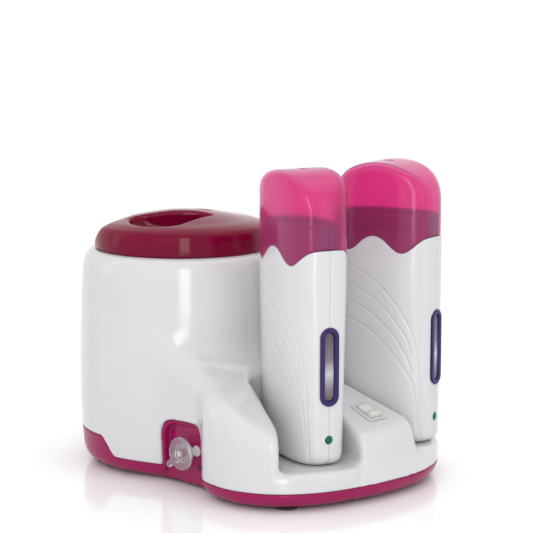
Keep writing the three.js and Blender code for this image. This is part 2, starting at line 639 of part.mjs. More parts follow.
const foot = ([x, y]) => cylinder(7, 0, BASE_Z - GAP, x, y, 16);

function baseScrew([x, y]) {
  const head = cylinder(3.5, 3.2, 5.3, x, y, 12);
  const cross = join(box(x - 1.8, x + 1.8, y - 0.4, y + 0.4, 3, 4.2),
    box(x - 0.4, x + 0.4, y - 1.8, y + 1.8, 3, 4.2));
  return cut(join(head, cylinder(1.4, 5, 22, x, y, 8)), cross);
}

function lead(route, r = 1.3) {
  const path = new THREE.CatmullRomCurve3(route.map((p) => new THREE.Vector3(...p)));
  const section = new THREE.Shape();
  section.absarc(0, 0, r, 0, Math.PI * 2);
  const settings = { steps: 8, bevelEnabled: false, extrudePath: path, curveSegments: 3 };
  return solid(new THREE.ExtrudeGeometry(section, settings));
}

// ---------------------------------------------------------------- assembly
const station = new THREE.Group();
station.add(piece('upper_housing', upperHousing(), finishes.white));
station.add(piece('base_tray', baseTray(), finishes.magenta));
station.add(piece('heating_well', heatingWell(), finishes.aluminium));
station.add(piece('well_ring', wellRing(), finishes.black));
station.add(piece('heater_band', heaterBand(), finishes.mica));
station.add(piece('insulation_sleeve', insulationSleeve(), finishes.ceramic));
station.add(piece('pot_thermal_fuse', box(POT.x - 9, POT.x + 9, POT.y - 4, POT.y + 4, 50, 55.4),
  finishes.brass));
station.add(piece('inner_bucket', innerBucket(), finishes.aluminium));
station.add(piece('pot_lid', potLid(), finishes.ruby));

station.add(piece('thermostat_body', thermostatBody(), finishes.black));
station.add(piece('thermostat_knob', thermostatKnob(), finishes.clear));
station.add(piece('knob_screw', knobScrew(), finishes.steel));
station.add(piece('panel_disc', pinY(MARK.r, PANEL.y - 1, PANEL.y + 1, MARK.x, MARK.z, 20),
  finishes.white));
station.add(piece('pilot_lamp', pinY(PILOT.r, PANEL.y - 0.6, PANEL.y + 6, PILOT.x, PILOT.z, 14),
  finishes.black));

station.add(tilted(piece('switch_frame', switchFrame(), finishes.cream)));
const rocker = tilted(piece('rocker_button', rockerButton(), finishes.cream));
rocker.rotation.y = SLOPE - THREE.MathUtils.degToRad(9);
station.add(rocker);

station.add(piece('power_inlet', powerInlet(), finishes.black));
for (const [index, side] of [-1, 1].entries()) {
  station.add(piece(`inlet_pin_${index + 1}`, inletPin(side), finishes.brass));
}
station.add(piece('terminal_block', box(POT.x - 14, POT.x + 14, 4, 16, 5.4, 16), finishes.ceramic));

for (const [label, side] of [['front', -1], ['rear', 1]]) {
  const connector = piece(`${label}_dock_connector`, dockConnector(), finishes.black);
  connector.position.set(ROLL.x, rollY(side), ROLL.floor);
  connector.rotation.z = side * ROLL.splay;
  station.add(connector);
  station.add(rollOn(label, side));
}

FEET.forEach((at, i) => station.add(piece(`foot_${i + 1}`, foot(at), finishes.rubber)));
BOSSES.forEach((at, i) => station.add(piece(`base_screw_${i + 1}`, baseScrew(at), finishes.steel)));

const LEADS = {
  lead_inlet: [[POT.x, 27, 12], [POT.x, 24, 12], [POT.x, 20, 10], [POT.x, 16.6, 10]],
  lead_heater: [[POT.x, 2.9, 12], [POT.x, -10, 24], [POT.x, -20, 40], [POT.x, POT.y, 49.4]],
  lead_switch: [[POT.x + 14.6, 8, 10], [-10, 11, 11], [50, 11.5, 14], [84, 11.5, 24], [88, 11.5, 35]],
};
for (const [name, route] of Object.entries(LEADS)) {
  station.add(piece(name, lead(route), finishes.wire));
}

export default station;
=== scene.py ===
import json
import math

import bpy
import numpy as np
from mathutils import Matrix, Vector


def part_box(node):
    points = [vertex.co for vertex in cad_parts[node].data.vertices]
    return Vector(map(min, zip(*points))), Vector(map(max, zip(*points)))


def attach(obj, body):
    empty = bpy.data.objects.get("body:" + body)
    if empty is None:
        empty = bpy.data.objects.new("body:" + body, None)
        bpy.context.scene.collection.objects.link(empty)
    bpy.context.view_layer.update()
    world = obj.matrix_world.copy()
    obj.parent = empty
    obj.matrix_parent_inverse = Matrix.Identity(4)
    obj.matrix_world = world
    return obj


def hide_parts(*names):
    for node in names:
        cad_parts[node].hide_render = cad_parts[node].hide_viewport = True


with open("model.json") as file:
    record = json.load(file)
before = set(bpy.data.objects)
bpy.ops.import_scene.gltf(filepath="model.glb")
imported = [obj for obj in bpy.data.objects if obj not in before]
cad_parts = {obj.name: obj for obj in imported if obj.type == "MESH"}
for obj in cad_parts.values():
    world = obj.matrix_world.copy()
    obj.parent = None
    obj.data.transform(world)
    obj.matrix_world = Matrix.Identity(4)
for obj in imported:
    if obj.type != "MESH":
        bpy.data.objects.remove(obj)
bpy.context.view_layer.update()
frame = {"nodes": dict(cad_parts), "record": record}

# A wax station: a round heated pot with a tinted lid, and a sloping dock in which two roll-on
# heaters stand. Shapes are worked out in millimetres and turned into metres once, in put().
MM = 0.001


def centre_mm(node):
    low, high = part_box(node)
    return (low + high) * 0.5 / MM


def low_mm(node):
    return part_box(node)[0] / MM


def high_mm(node):
    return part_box(node)[1] / MM


# ------------------------------------------------------------------ camera
def make_camera():
    """Three-quarter product view from the front right, a little above the lid."""
    azimuth, pitch = math.radians(47.13), math.radians(8.72)
    data = bpy.data.cameras.new("camera")
    data.sensor_width = 36.0
    data.lens = 133.66
    data.clip_end = 20.0
    camera = bpy.data.objects.new("camera", data)
    bpy.context.scene.collection.objects.link(camera)
    camera.location = Vector((0.9662, -0.8904, 0.3377))
    camera.rotation_euler = (math.pi / 2 - pitch, 0.0, azimuth)
    bpy.context.scene.camera = camera


# ------------------------------------------------------------------ driving dimensions, mm
POT = centre_mm("inner_bucket")
POT_TOP = high_mm("upper_housing").z
WALL = 2.8
SPLIT_Z, SKIRT_Z, BASE_Z = 12.0, 25.0, 2.0
SEAM = 0.15
SLOPE = math.radians(21.5)
SWITCH = Vector((91.9, 11.5, 49.6))
SWITCH_HOLE, SWITCH_PLATE, SWITCH_NECK = (8.6, 6.6), (9.9, 8.2), (8.2, 6.2)
KEY_WELL, KEY_SIZE, KEY_TILT = (7.2, 5.1), (6.4, 4.7), math.radians(9)
SPLAY = math.radians(15.85)
ROLLS = {"front": -1, "rear": 1}
ROLL_CENTRE = {label: centre_mm(f"{label}_cap") for label in ROLLS}
ROLL_Z = low_mm("front_rollon_near_shell").z
ROLL_U, ROLL_V, ROLL_POWER = 36.4, 21.2, 2.7
ROLL_WALL, NECK_INSET, NECK_WALL, CAP_WALL = 2.2, 2.6, 2.0, 2.0
NECK_FOOT, NECK_TOP, CAP_SHOULDER, CAP_TOP = 112.0, 151.6, 158.0, 185.0
WAVE_LOW, WAVE_HIGH = 126.7, 137.0
WINDOW_Z, WINDOW_LENGTH, WINDOW_WIDTH = 63.7, 50.2, 13.2
SLOT_LENGTH, SLOT_WIDTH = WINDOW_LENGTH - 6.4, 6.8
LAMP_Z = 17.0
GROOVE_HALF, GROOVE_DEPTH = 0.85, 0.42
PANEL_Y, PANEL_X0, PANEL_X1, PANEL_TOP, PANEL_ROUND = -74.5, -8.0, 33.0, 43.4, 7.0
PANEL_FOOT, PANEL_LEAN = 3.6, 0.2
KNOB = Vector((13.3, PANEL_Y, 23.5))
SCREWS = [centre_mm(f"base_screw_{n}") for n in range(1, 5)]
BOSS_RADIUS, HEAD_RADIUS, SCREW_RADIUS = 5.0, 3.9, 2.1
BOSS_Z0, HEAD_Z1, BOSS_Z1 = 3.0, 5.6, 8.6
MOUTH_RADIUS, MOUTH_Z0 = 54.0, 138.0
INLET_HALF, INLET_Z0, INLET_Z1 = 12.8, 7.1, 21.7
# The nose's face between the pockets: its setback at the front, how much more at the rear, and
# the height over which it grows.
SETBACK, SETBACK_GAIN, SETBACK_RISE = 7.5, 4.0, 16.0

# Radius and height up the outside of the pot.
POT_PROFILE = [(68.8, 12), (70.2, 30), (70.9, 60), (70.4, 92), (69.2, 122), (68, 136),
               (66.4, 142), (63.6, 145.6), (60.8, 146.8)]
# Plan outline of the dock from the waist by the control panel round the nose to the pot.
DOCK_SPINE = [(-34, -77), (8, -77.2), (24, -77.8), (33, -81.5), (42, -87.5), (56, -90.8), (74, -90),
              (97, -78.5), (114, -54), (122, -20), (123.5, 8), (118, 41), (100, 70), (72, 89.5),
              (44, 93), (18, 84), (-2, 63), (-24, 38)]


# ------------------------------------------------------------------ distance fields
def smin(a, b, k):
    """Union of two distance fields with a fillet of about k."""
    h = np.clip(0.5 + 0.5 * (b - a) / k, 0.0, 1.0)
    return b * (1 - h) + a * h - k * h * (1 - h)


def smax(a, b, k):
    """Intersection of two distance fields with an edge rounding of about k."""
    return -smin(-a, -b, k)


def catmull(points, count):
    """Centripetal spline through the points, count samples for each span."""
    pts = np.array(points, float)
    pts = np.vstack([2 * pts[0] - pts[1], pts, 2 * pts[-1] - pts[-2]])
    out = []
    for i in range(1, len(pts) - 2):
        p = pts[i - 1:i + 3]
        t = np.concatenate([[0], np.cumsum(np.sqrt(np.linalg.norm(np.diff(p, axis=0), axis=1)))])
        for s in np.linspace(t[1], t[2], count, endpoint=False):
            a = [(t[j + 1] - s) / (t[j + 1] - t[j]) * p[j] + (s - t[j]) / (t[j + 1] - t[j]) * p[j + 1]
                 for j in range(3)]
            b = [(t[j + 2] - s) / (t[j + 2] - t[j]) * a[j] + (s - t[j]) / (t[j + 2] - t[j]) * a[j + 1]
                 for j in range(2)]
            out.append((t[2] - s) / (t[2] - t[1]) * b[0] + (s - t[1]) / (t[2] - t[1]) * b[1])
    out.append(pts[-2])
    return np.array(out)


class Outline:
    """Signed distance to a closed plane outline, kept in a fine table and looked up from it."""

    def __init__(self, points, margin=30.0, step=0.5):
        pts = np.array(points, np.float32)
        self.low = pts.min(0) - margin
        self.step = step
        size = np.ceil((pts.max(0) + margin - self.low) / step).astype(int) + 2
        x = self.low[0] + step * np.arange(size[0], dtype=np.float32)[:, None]
        y = self.low[1] + step * np.arange(size[1], dtype=np.float32)[None, :]
        best = np.full((size[0], size[1]), 1e9, np.float32)
        inside = np.zeros((size[0], size[1]), bool)
        for (ax, ay), (bx, by) in zip(pts, np.roll(pts, -1, axis=0)):
            ex, ey = bx - ax, by - ay
            length = ex * ex + ey * ey
            if length < 1e-9:
                continue
            t = np.clip(((x - ax) * ex + (y - ay) * ey) / length, 0, 1)
            best = np.minimum(best, (x - ax - t * ex) ** 2 + (y - ay - t * ey) ** 2)
            if ay != by:
                crosses = ((ay > y) != (by > y)) & (x < ax + (y - ay) / (by - ay) * ex)
                inside ^= crosses
        self.table = np.where(inside, -1, 1) * np.sqrt(best)

    def __call__(self, x, y):
        i = (np.asarray(x, np.float32) - self.low[0]) / self.step
        j = (np.asarray(y, np.float32) - self.low[1]) / self.step
        i, j = np.broadcast_arrays(i, j)
        i = np.clip(i, 0, self.table.shape[0] - 1.001)
        j = np.clip(j, 0, self.table.shape[1] - 1.001)
        a, b = i.astype(np.int32), j.astype(np.int32)
        s, t = i - a, j - b
        table = self.table
        return ((table[a, b] * (1 - s) + table[a + 1, b] * s) * (1 - t)
                + (table[a, b + 1] * (1 - s) + table[a + 1, b + 1] * s) * t)


def block(x, y, z, low, high, k=1.0):
    """A box with rounded edges, as a distance field."""
    d = [np.abs(c - (a + b) / 2) - (b - a) / 2 for c, a, b in zip((x, y, z), low, high)]
    return smax(smax(d[0], d[1], k), d[2], k)


def upright(x, y, z, half, low, high, k):
    """A block about the Z axis, from its two half sizes and its two heights."""
    return block(x, y, z, (-half[0], -half[1], low), (half[0], half[1], high), k)


# ------------------------------------------------------------------ meshing a distance field
def crossings(values):
    """Grid edges on which the field changes sign, for each axis: start index and fraction."""
    found = []
    for axis in range(3):
        a = [slice(None)] * 3
        b = [slice(None)] * 3
        a[axis], b[axis] = slice(0, -1), slice(1, None)
        va, vb = values[tuple(a)], values[tuple(b)]
        where = np.nonzero((va < 0) != (vb < 0))
        va, vb = va[where], vb[where]
        found.append((np.stack(where, 1), va / (va - vb), va < 0))
    return found


def surface_net(values):
    """Vertices, in grid units, and quads of the zero surface of a field on a regular grid."""
    shape = np.array(values.shape) - 1
    cells = np.prod(shape)
    total = np.zeros(cells, np.float32)
    sums = [np.zeros(cells, np.float32) for _ in range(3)]
    found = crossings(values)
    around = []
    for axis, (start, fraction, _) in enumerate(found):
        others = [k for k in range(3) if k != axis]
        point = start.astype(np.float32)
        point[:, axis] += fraction
        group = []
        for da, db in ((0, 0), (1, 0), (1, 1), (0, 1)):
            cell = start.copy()
            cell[:, others[0]] -= da
            cell[:, others[1]] -= db
            good = np.all((cell >= 0) & (cell < shape), axis=1)
            flat = (cell[:, 0] * shape[1] + cell[:, 1]) * shape[2] + cell[:, 2]
            flat = np.where(good, flat, -1)
            group.append(flat)
            kept = flat[good]
            total += np.bincount(kept, minlength=cells).astype(np.float32)
            for k in range(3):
                share = np.bincount(kept, weights=point[good, k], minlength=cells)
                sums[k] += share.astype(np.float32)
        around.append(np.stack(group, 1))
    used = np.nonzero(total)[0]
    number = np.full(cells + 1, -1, np.int64)
    number[used] = np.arange(len(used))
    verts = np.stack([s[used] / total[used] for s in sums], 1)
    quads = []
    for axis, ((_, _, falling), cells_round) in enumerate(zip(found, around)):
        good = np.all(cells_round >= 0, axis=1)
        quad = number[cells_round[good]]
        flip = falling[good] if axis != 1 else ~falling[good]
        quad[flip] = quad[flip][:, ::-1]
        quads.append(quad)
    return verts, np.concatenate(quads)[:, ::-1]


def relax(verts, quads, share):
    """Moves each vertex part of the way to the middle of its neighbours."""
    count = len(verts)
    total = np.zeros(count)
    sums = np.zeros((count, 3))
    for a, b in ((0, 1), (1, 2), (2, 3), (3, 0)):
        for i, j in ((quads[:, a], quads[:, b]), (quads[:, b], quads[:, a])):
            total += np.bincount(i, minlength=count)
            for k in range(3):
                sums[:, k] += np.bincount(i, weights=verts[j, k], minlength=count)
    return verts + share * (sums / np.maximum(total, 1)[:, None] - verts)


def project(verts, field, reach):
    """Moves each vertex onto the zero surface along the field's gradient."""
    e = 0.08
    x, y, z = (verts[:, k].astype(np.float32) for k in range(3))
    here = field(x, y, z)
    slope = np.stack([field(x + e, y, z) - field(x - e, y, z),
                      field(x, y + e, z) - field(x, y - e, z),
                      field(x, y, z + e) - field(x, y, z - e)], 1) / (2 * e)
    steep = np.maximum((slope ** 2).sum(1), 0.09)
    step = np.clip(here / steep, -reach, reach)
    return verts - slope * step[:, None]


def mesh_field(name, field, low, high, step, rounds=2):
    """A mesh, in millimetres, of the solid where the field is below zero."""
    low, high = np.array(low, float), np.array(high, float)
    size = np.ceil((high - low) / step).astype(int) + 1
    axes = [(low[k] + step * np.arange(size[k])).astype(np.float32) for k in range(3)]
    x, y = axes[0][:, None, None], axes[1][None, :, None]
    values = np.empty(size, np.float32)
    slab = 24
    for k in range(0, size[2], slab):
        values[:, :, k:k + slab] = field(x, y, axes[2][None, None, k:k + slab])
    verts, quads = surface_net(values)
    verts = low + verts * step
    verts = project(verts, field, 0.5 * step)
    for _ in range(rounds):
        verts = project(relax(verts, quads, 0.5), field, 0.6 * step)
    return name, verts, quads


def put(name, verts, faces, body, slot, material, nodes=(), smooth=True, matrix=None):
    """Makes a Blender object from points in millimetres, and hangs it on its CAD body."""
    verts = np.asarray(verts, float) * MM
    if matrix is not None:
        verts = verts @ np.array(matrix.to_3x3()).T + np.array(matrix.translation)
    mesh = bpy.data.meshes.new(name)
    if isinstance(faces, np.ndarray):
        mesh.vertices.add(len(verts))
        mesh.vertices.foreach_set("co", verts.astype(np.float32).ravel())
        sides = faces.shape[1]
        mesh.loops.add(faces.size)
        mesh.loops.foreach_set("vertex_index", faces.astype(np.int32).ravel())
        mesh.polygons.add(len(faces))
        mesh.polygons.foreach_set("loop_start", np.arange(0, faces.size, sides, dtype=np.int32))
        mesh.update(calc_edges=True)
    else:
        mesh.from_pydata([tuple(v) for v in verts], [], faces)
    mesh.validate()
    if smooth:
        mesh.polygons.foreach_set("use_smooth", [True] * len(mesh.polygons))
    mesh.materials.append(material)
    obj = bpy.data.objects.new(name, mesh)
    bpy.context.scene.collection.objects.link(obj)
    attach(obj, body)
    if nodes:
        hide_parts(*nodes)
    return obj


# ------------------------------------------------------------------ materials
def new_material(name):
    material = bpy.data.materials.new(name)
    material.use_nodes = True
    tree = material.node_tree
    shader = tree.nodes["Principled BSDF"]
    return material, tree, shader


def node(tree, kind, **inputs):
    made = tree.nodes.new(kind)
    for key, value in inputs.items():
        socket = key.replace("_", " ")
        if socket in made.inputs:
            made.inputs[socket].default_value = value
        else:
            setattr(made, key, value)
    return made


def ramp(tree, source, low, high, start=0.0, end=1.0):
    """Maps a factor from start..end to low..high, clamped."""
    made = node(tree, "ShaderNodeMapRange")
    made.inputs["From Min"].default_value = start
    made.inputs["From Max"].default_value = end
    made.inputs["To Min"].default_value = low
    made.inputs["To Max"].default_value = high
    tree.links.new(source, made.inputs["Value"])
    return made.outputs["Result"]


def mottled(tree, base, other, scale, amount):
    """A colour that drifts a little between two shades over the surface."""
    place = node(tree, "ShaderNodeTexCoord")
    noise = node(tree, "ShaderNodeTexNoise", Scale=scale, Detail=4.0, Roughness=0.55)
    tree.links.new(place.outputs["Object"], noise.inputs["Vector"])
    mix = node(tree, "ShaderNodeMix", data_type="RGBA")
    mix.inputs["A"].default_value = (*base, 1)
    mix.inputs["B"].default_value = (*other, 1)
    tree.links.new(ramp(tree, noise.outputs["Fac"], 0.0, amount, 0.35, 0.7), mix.inputs["Factor"])
    return place.outputs["Object"], mix.outputs["Result"]


def plastic(name, base, other, roughness=(0.16, 0.26), coat=0.0, texture=0.00002, worn=0.5,
            transmission=0.0, specular=0.5, subsurface=0.0, ior=1.5, metallic=0.0, alpha=1.0,
            grain=2600.0):
    """Moulded plastic: faint mottling, uneven gloss with fine scuffs, and a slight skin texture."""
    material, tree, shader = new_material(name)
    place, colour = mottled(tree, base, other, 22.0, worn)
    tree.links.new(colour, shader.inputs["Base Color"])
    patches = node(tree, "ShaderNodeTexNoise", Scale=45.0, Detail=6.0, Roughness=0.6)
    tree.links.new(place, patches.inputs["Vector"])
    gloss = ramp(tree, patches.outputs["Fac"], *roughness, 0.3, 0.72)
    tree.links.new(gloss, shader.inputs["Roughness"])
    skin = node(tree, "ShaderNodeTexNoise", Scale=grain, Detail=2.0)
    tree.links.new(place, skin.inputs["Vector"])
    bump = node(tree, "ShaderNodeBump", Strength=0.35, Distance=texture)
    tree.links.new(skin.outputs["Fac"], bump.inputs["Height"])
    tree.links.new(bump.outputs["Normal"], shader.inputs["Normal"])
    shader.inputs["Specular IOR Level"].default_value = specular
    shader.inputs["Coat Weight"].default_value = coat
    shader.inputs["Coat Roughness"].default_value = 0.06
    shader.inputs["IOR"].default_value = ior
    shader.inputs["Metallic"].default_value = metallic
    shader.inputs["Transmission Weight"].default_value = transmission
    shader.inputs["Subsurface Weight"].default_value = subsurface
    shader.inputs["Subsurface Scale"].default_value = 0.004
    shader.inputs["Alpha"].default_value = alpha
    return material


def brushed_metal(name, base, roughness=(0.22, 0.4), stretch=(40.0, 40.0, 900.0)):
    """Drawn metal: fine lines along one direction and faint stains."""
    material, tree, shader = new_material(name)
    place, colour = mottled(tree, base, tuple(c * 0.8 for c in base), 60.0, 0.6)
    tree.links.new(colour, shader.inputs["Base Color"])
    mapping = node(tree, "ShaderNodeMapping")
    mapping.inputs["Scale"].default_value = stretch
    tree.links.new(place, mapping.inputs["Vector"])
    lines = node(tree, "ShaderNodeTexNoise", Scale=6.0, Detail=5.0)
    tree.links.new(mapping.outputs["Vector"], lines.inputs["Vector"])
    tree.links.new(ramp(tree, lines.outputs["Fac"], *roughness, 0.3, 0.7), shader.inputs["Roughness"])
    bump = node(tree, "ShaderNodeBump", Strength=0.3, Distance=0.00004)
    tree.links.new(lines.outputs["Fac"], bump.inputs["Height"])
    tree.links.new(bump.outputs["Normal"], shader.inputs["Normal"])
    shader.inputs["Metallic"].default_value = 1.0
    return material


def pane_material():
    """The window's pane: clear, with a painted highlight across its lower middle and painted shade towards
    its ends.

    The upright gradient takes the place of the drifting colour that plastic() links in.
    """
    material = plastic("window_clear", (0.5, 0.48, 0.52), (0.4, 0.38, 0.42), (0.05, 0.12),
                       transmission=0.35)
    tree = material.node_tree
    shader = tree.nodes["Principled BSDF"]
    place = node(tree, "ShaderNodeTexCoord")
    split = node(tree, "ShaderNodeSeparateXYZ")
    tree.links.new(place.outputs["Generated"], split.inputs["Vector"])
    shade = node(tree, "ShaderNodeValToRGB")
    # Painted light: the pale stop in the lower middle is a painted highlight, and the dark ends are painted
    # shade.
    stops = [(0.0, (0.09, 0.075, 0.09)), (0.2, (0.30, 0.27, 0.31)), (0.4, (0.70, 0.69, 0.71)),
             (0.6, (0.26, 0.22, 0.27)), (1.0, (0.09, 0.07, 0.09))]
    while len(shade.color_ramp.elements) < len(stops):
        shade.color_ramp.elements.new(0.5)
    for element, (place_on, colour) in zip(shade.color_ramp.elements, stops):
        element.position = place_on
        element.color = (*colour, 1)
    tree.links.new(split.outputs["Z"], shade.inputs["Fac"])
    tree.links.new(shade.outputs["Color"], shader.inputs["Base Color"])
    return material


MATERIALS = {
    "white_abs": plastic("white_abs", (0.60, 0.597, 0.61), (0.56, 0.557, 0.572), (0.12, 0.2), coat=0.2),
    "raspberry_abs": plastic("raspberry_abs", (0.29, 0.008, 0.085), (0.25, 0.006, 0.07), (0.2, 0.32),
                             specular=0.2),
    # The neck itself is white; this grey is painted shade for the darker band seen through the cap.
    "neck_painted_shade": plastic("neck_painted_shade", (0.15, 0.145, 0.155), (0.12, 0.115, 0.125), (0.3, 0.45)),
    "ruby_clear": plastic("ruby_clear", (0.36, 0.002, 0.058), (0.30, 0.002, 0.048), (0.06, 0.12),
                          transmission=0.6, texture=0.00001, ior=1.25),
    "pink_clear": plastic("pink_clear", (0.91, 0.15, 0.47), (0.88, 0.125, 0.43), (0.16, 0.24),
                          transmission=0.85, texture=0.00001, ior=1.25, coat=0.25),
    "frosted_clear": plastic("frosted_clear", (0.86, 0.84, 0.88), (0.8, 0.78, 0.84), (0.14, 0.26),
                             transmission=0.9),
    "window_clear": pane_material(),
    "smoked_lens": plastic("smoked_lens", (0.05, 0.01, 0.02), (0.03, 0.01, 0.01), (0.1, 0.2)),
    "green_lens": plastic("green_lens", (0.0, 0.125, 0.055), (0.0, 0.09, 0.04), (0.16, 0.24),
                          specular=0.25),
    "indigo_plastic": plastic("indigo_plastic", (0.034, 0.018, 0.105), (0.028, 0.014, 0.09), (0.25, 0.38),
                              specular=0.2),
    "cream_plastic": plastic("cream_plastic", (0.66, 0.645, 0.615), (0.61, 0.59, 0.56), (0.24, 0.36)),
    # A darker copy of the cream plastic: painted shade on the switch's surround.
    "cream_painted_shade": plastic("cream_painted_shade", (0.55, 0.545, 0.53), (0.5, 0.495, 0.48),
                                (0.3, 0.42)),
    "black_plastic": plastic("black_plastic", (0.02, 0.02, 0.022), (0.03, 0.03, 0.032), (0.4, 0.6)),
    "rubber": plastic("rubber", (0.02, 0.02, 0.02), (0.035, 0.033, 0.03), (0.7, 0.9), grain=1200.0),
    "aluminium": brushed_metal("aluminium", (0.72, 0.73, 0.74)),
    "steel": brushed_metal("steel", (0.55, 0.56, 0.57)),
    "brass": brushed_metal("brass", (0.62, 0.45, 0.18)),
    "mica": plastic("mica", (0.34, 0.28, 0.18), (0.22, 0.18, 0.11), (0.4, 0.7)),
    "ceramic_fibre": plastic("ceramic_fibre", (0.78, 0.74, 0.64), (0.66, 0.6, 0.5), (0.8, 0.95)),
    "wire": plastic("wire", (0.25, 0.02, 0.03), (0.18, 0.015, 0.02), (0.5, 0.7)),
    "print_white": plastic("print_white", (0.82, 0.80, 0.83), (0.76, 0.74, 0.77), (0.4, 0.5)),
}


def dress_cad_nodes():
    """Every CAD node takes the material of its slot; nodes with better pieces are hidden later."""
    for part in frame["record"]["subparts"]:
        obj = frame["nodes"][part["node"]]
        obj.data.materials.clear()
        obj.data.materials.append(MATERIALS[part["material_slot"]])


# ------------------------------------------------------------------ housing and tray
def pocket_points(side):
    """Plan outline of a roll-on's pocket, in its own frame: round inside, open to the nose."""
    half, outer_half = 21.8, 24.2
    turn = np.pi / 2 + np.pi * np.arange(21) / 20
    c, s = np.cos(turn), np.sin(turn)
    u = -20 + 18.2 * np.sign(c) * np.abs(c) ** 0.75
    v = side * -np.where(s > 0, half, outer_half) * np.sign(s) * np.abs(s) ** 0.75
    inner = list(zip(u, v))[::-1]
    rim = [(75, 59), (58, 49.3), (43, 39), (26, 31.6), (16, 29.6), (8, 28.6), (-7, 26.2),
           (-20, outer_half)]
    flare = catmull([(u, side * v) for u, v in rim], 5)
    return inner + [(75, side * -half)] + [tuple(p) for p in flare[:-1]]


def both_sides(half):
    """Closed outline from one half of a profile, given from the bottom up to the axis."""
    return [(-r, z) for r, z in half[::-1]] + half


DOCK = Outline(catmull(DOCK_SPINE, 8))
POT_SIDE = Outline(both_sides([(0, -40), (66, -40), (68.2, 2)]
                              + [tuple(p) for p in catmull(POT_PROFILE, 5)] + [(0, POT_TOP)]))
POCKETS = {label: Outline(pocket_points(side)) for label, side in ROLLS.items()}


def roll_frame(label, x, y):
    """The roll-on's own plan coordinates of a point."""
    centre, turn = ROLL_CENTRE[label], ROLLS[label] * SPLAY
    c, s = math.cos(turn), math.sin(turn)
    return (x - centre.x) * c + (y - centre.y) * s, -(x - centre.x) * s + (y - centre.y) * c


def smooth(t):
    """Eased step from 0 to 1."""
    t = np.clip(t, 0, 1)
    return t * t * (3 - 2 * t)


def island_setback(x, y, z):
    """How far the nose's face stands back between the pockets: more with height and to the rear."""
    _, front = roll_frame("front", x, y)
    _, rear = roll_frame("rear", x, y)
    between = smooth((front - 11) / 9) * smooth((-11 - rear) / 9) * smooth((x - 88) / 14)
    depth = SETBACK + SETBACK_GAIN * np.clip((y + 19) / 57, 0, 1)
    rise = (1 - np.exp(-np.maximum(z - SPLIT_Z, 0) / SETBACK_RISE)) / 0.85
    return between * depth * rise


def housing_solid(x, y, z):
    """The outer form of the upper housing, filled and carried down below the joint line."""
    r = np.hypot(x - POT.x, y - POT.y)
    pot = POT_SIDE(r, z)
    slope = (x - SWITCH.x) * math.sin(SLOPE) + (z - SWITCH.z) * math.cos(SLOPE)
    round_edge = 15.0 - 7.0 * smooth((x - 80) / 24)
    dock = smax(DOCK(x, y) + island_setback(x, y, z), slope, round_edge)
    form = smin(pot, dock, 16.0)
    for label in ROLLS:
        u, v = roll_frame(label, x, y)
        pocket = smax(POCKETS[label](u, v), ROLL_Z - 0.3 - z, 5.0)
        form = smax(form, -pocket, 5.5)
    return form


def split_height(x, y):
    """Height of the joint line between tray and housing: it rises round the back of the pot."""
    turn = np.degrees(np.arctan2(y - POT.y, x - POT.x)) % 360
    front = np.clip((278.0 - turn) / 12.0, 0, 1)
    back = np.clip((turn - 62.0) / 12.0, 0, 1)
    rise = np.minimum(front, back)
    return SPLIT_Z + (SKIRT_Z - SPLIT_Z) * rise * rise * (3 - 2 * rise)


def panel_recess(x, z, grow=0.0):
    """The upright slot in the housing that shows the control panel, rounded at the top."""
    right = x - PANEL_X1 - grow - PANEL_LEAN * np.clip(30 - z, -10, 30)
    sides = smax(PANEL_X0 - grow - x, right, 1.0)
    return smax(sides, z - PANEL_TOP - grow, PANEL_ROUND * 1.5)


def housing_field(x, y, z):
    """Upper housing: a shell with the pot's mouth, the panel's slot and the switch's hole."""
    form = housing_solid(x, y, z)
    shell = np.maximum(form, -(form + WALL))
    r = np.hypot(x - POT.x, y - POT.y)
    mouth = np.maximum(r - MOUTH_RADIUS, MOUTH_Z0 - z)
    shell = smax(shell, -mouth, 1.6)
    shell = smax(shell, split_height(x, y) + SEAM - z, 0.8)
    window = np.maximum(panel_recess(x, z), y - (PANEL_Y + WALL + 1.0))
    shell = smax(shell, -window, 1.2)
    c, s = math.cos(SLOPE), math.sin(SLOPE)
    across = (x - SWITCH.x) * c - (z - SWITCH.z) * s
    up = (x - SWITCH.x) * s + (z - SWITCH.z) * c
    hole = upright(across, y - SWITCH.y, up, SWITCH_HOLE, -20, 20, 0.5)
    return smax(shell, -hole, 0.4)


def tray_solid(x, y, z):
    """The outer form of the base tray, filled, with a rounded lower edge."""
    r = np.hypot(x - POT.x, y - POT.y)
    pot = smax(POT_SIDE(r, np.maximum(z, 2.0)), BASE_Z - z, 12.0)
    dock = smax(DOCK(x, y), BASE_Z - z, 12.0)
    return smin(pot, dock, 6.0)


def screwed(shell, x, y, z):
    """Adds the four screw bosses, each with a sunk hole for the head and a hole for the shank."""
    middle, half = (BOSS_Z0 + BOSS_Z1) / 2, (BOSS_Z1 - BOSS_Z0) / 2
    for screw in SCREWS:
        r = np.hypot(x - screw.x, y - screw.y)
        shell = smin(shell, np.maximum(r - BOSS_RADIUS, np.abs(z - middle) - half), 1.0)
        shell = np.maximum(shell, -np.maximum(r - HEAD_RADIUS, z - HEAD_Z1))
        shell = np.maximum(shell, SCREW_RADIUS - r)
    return shell


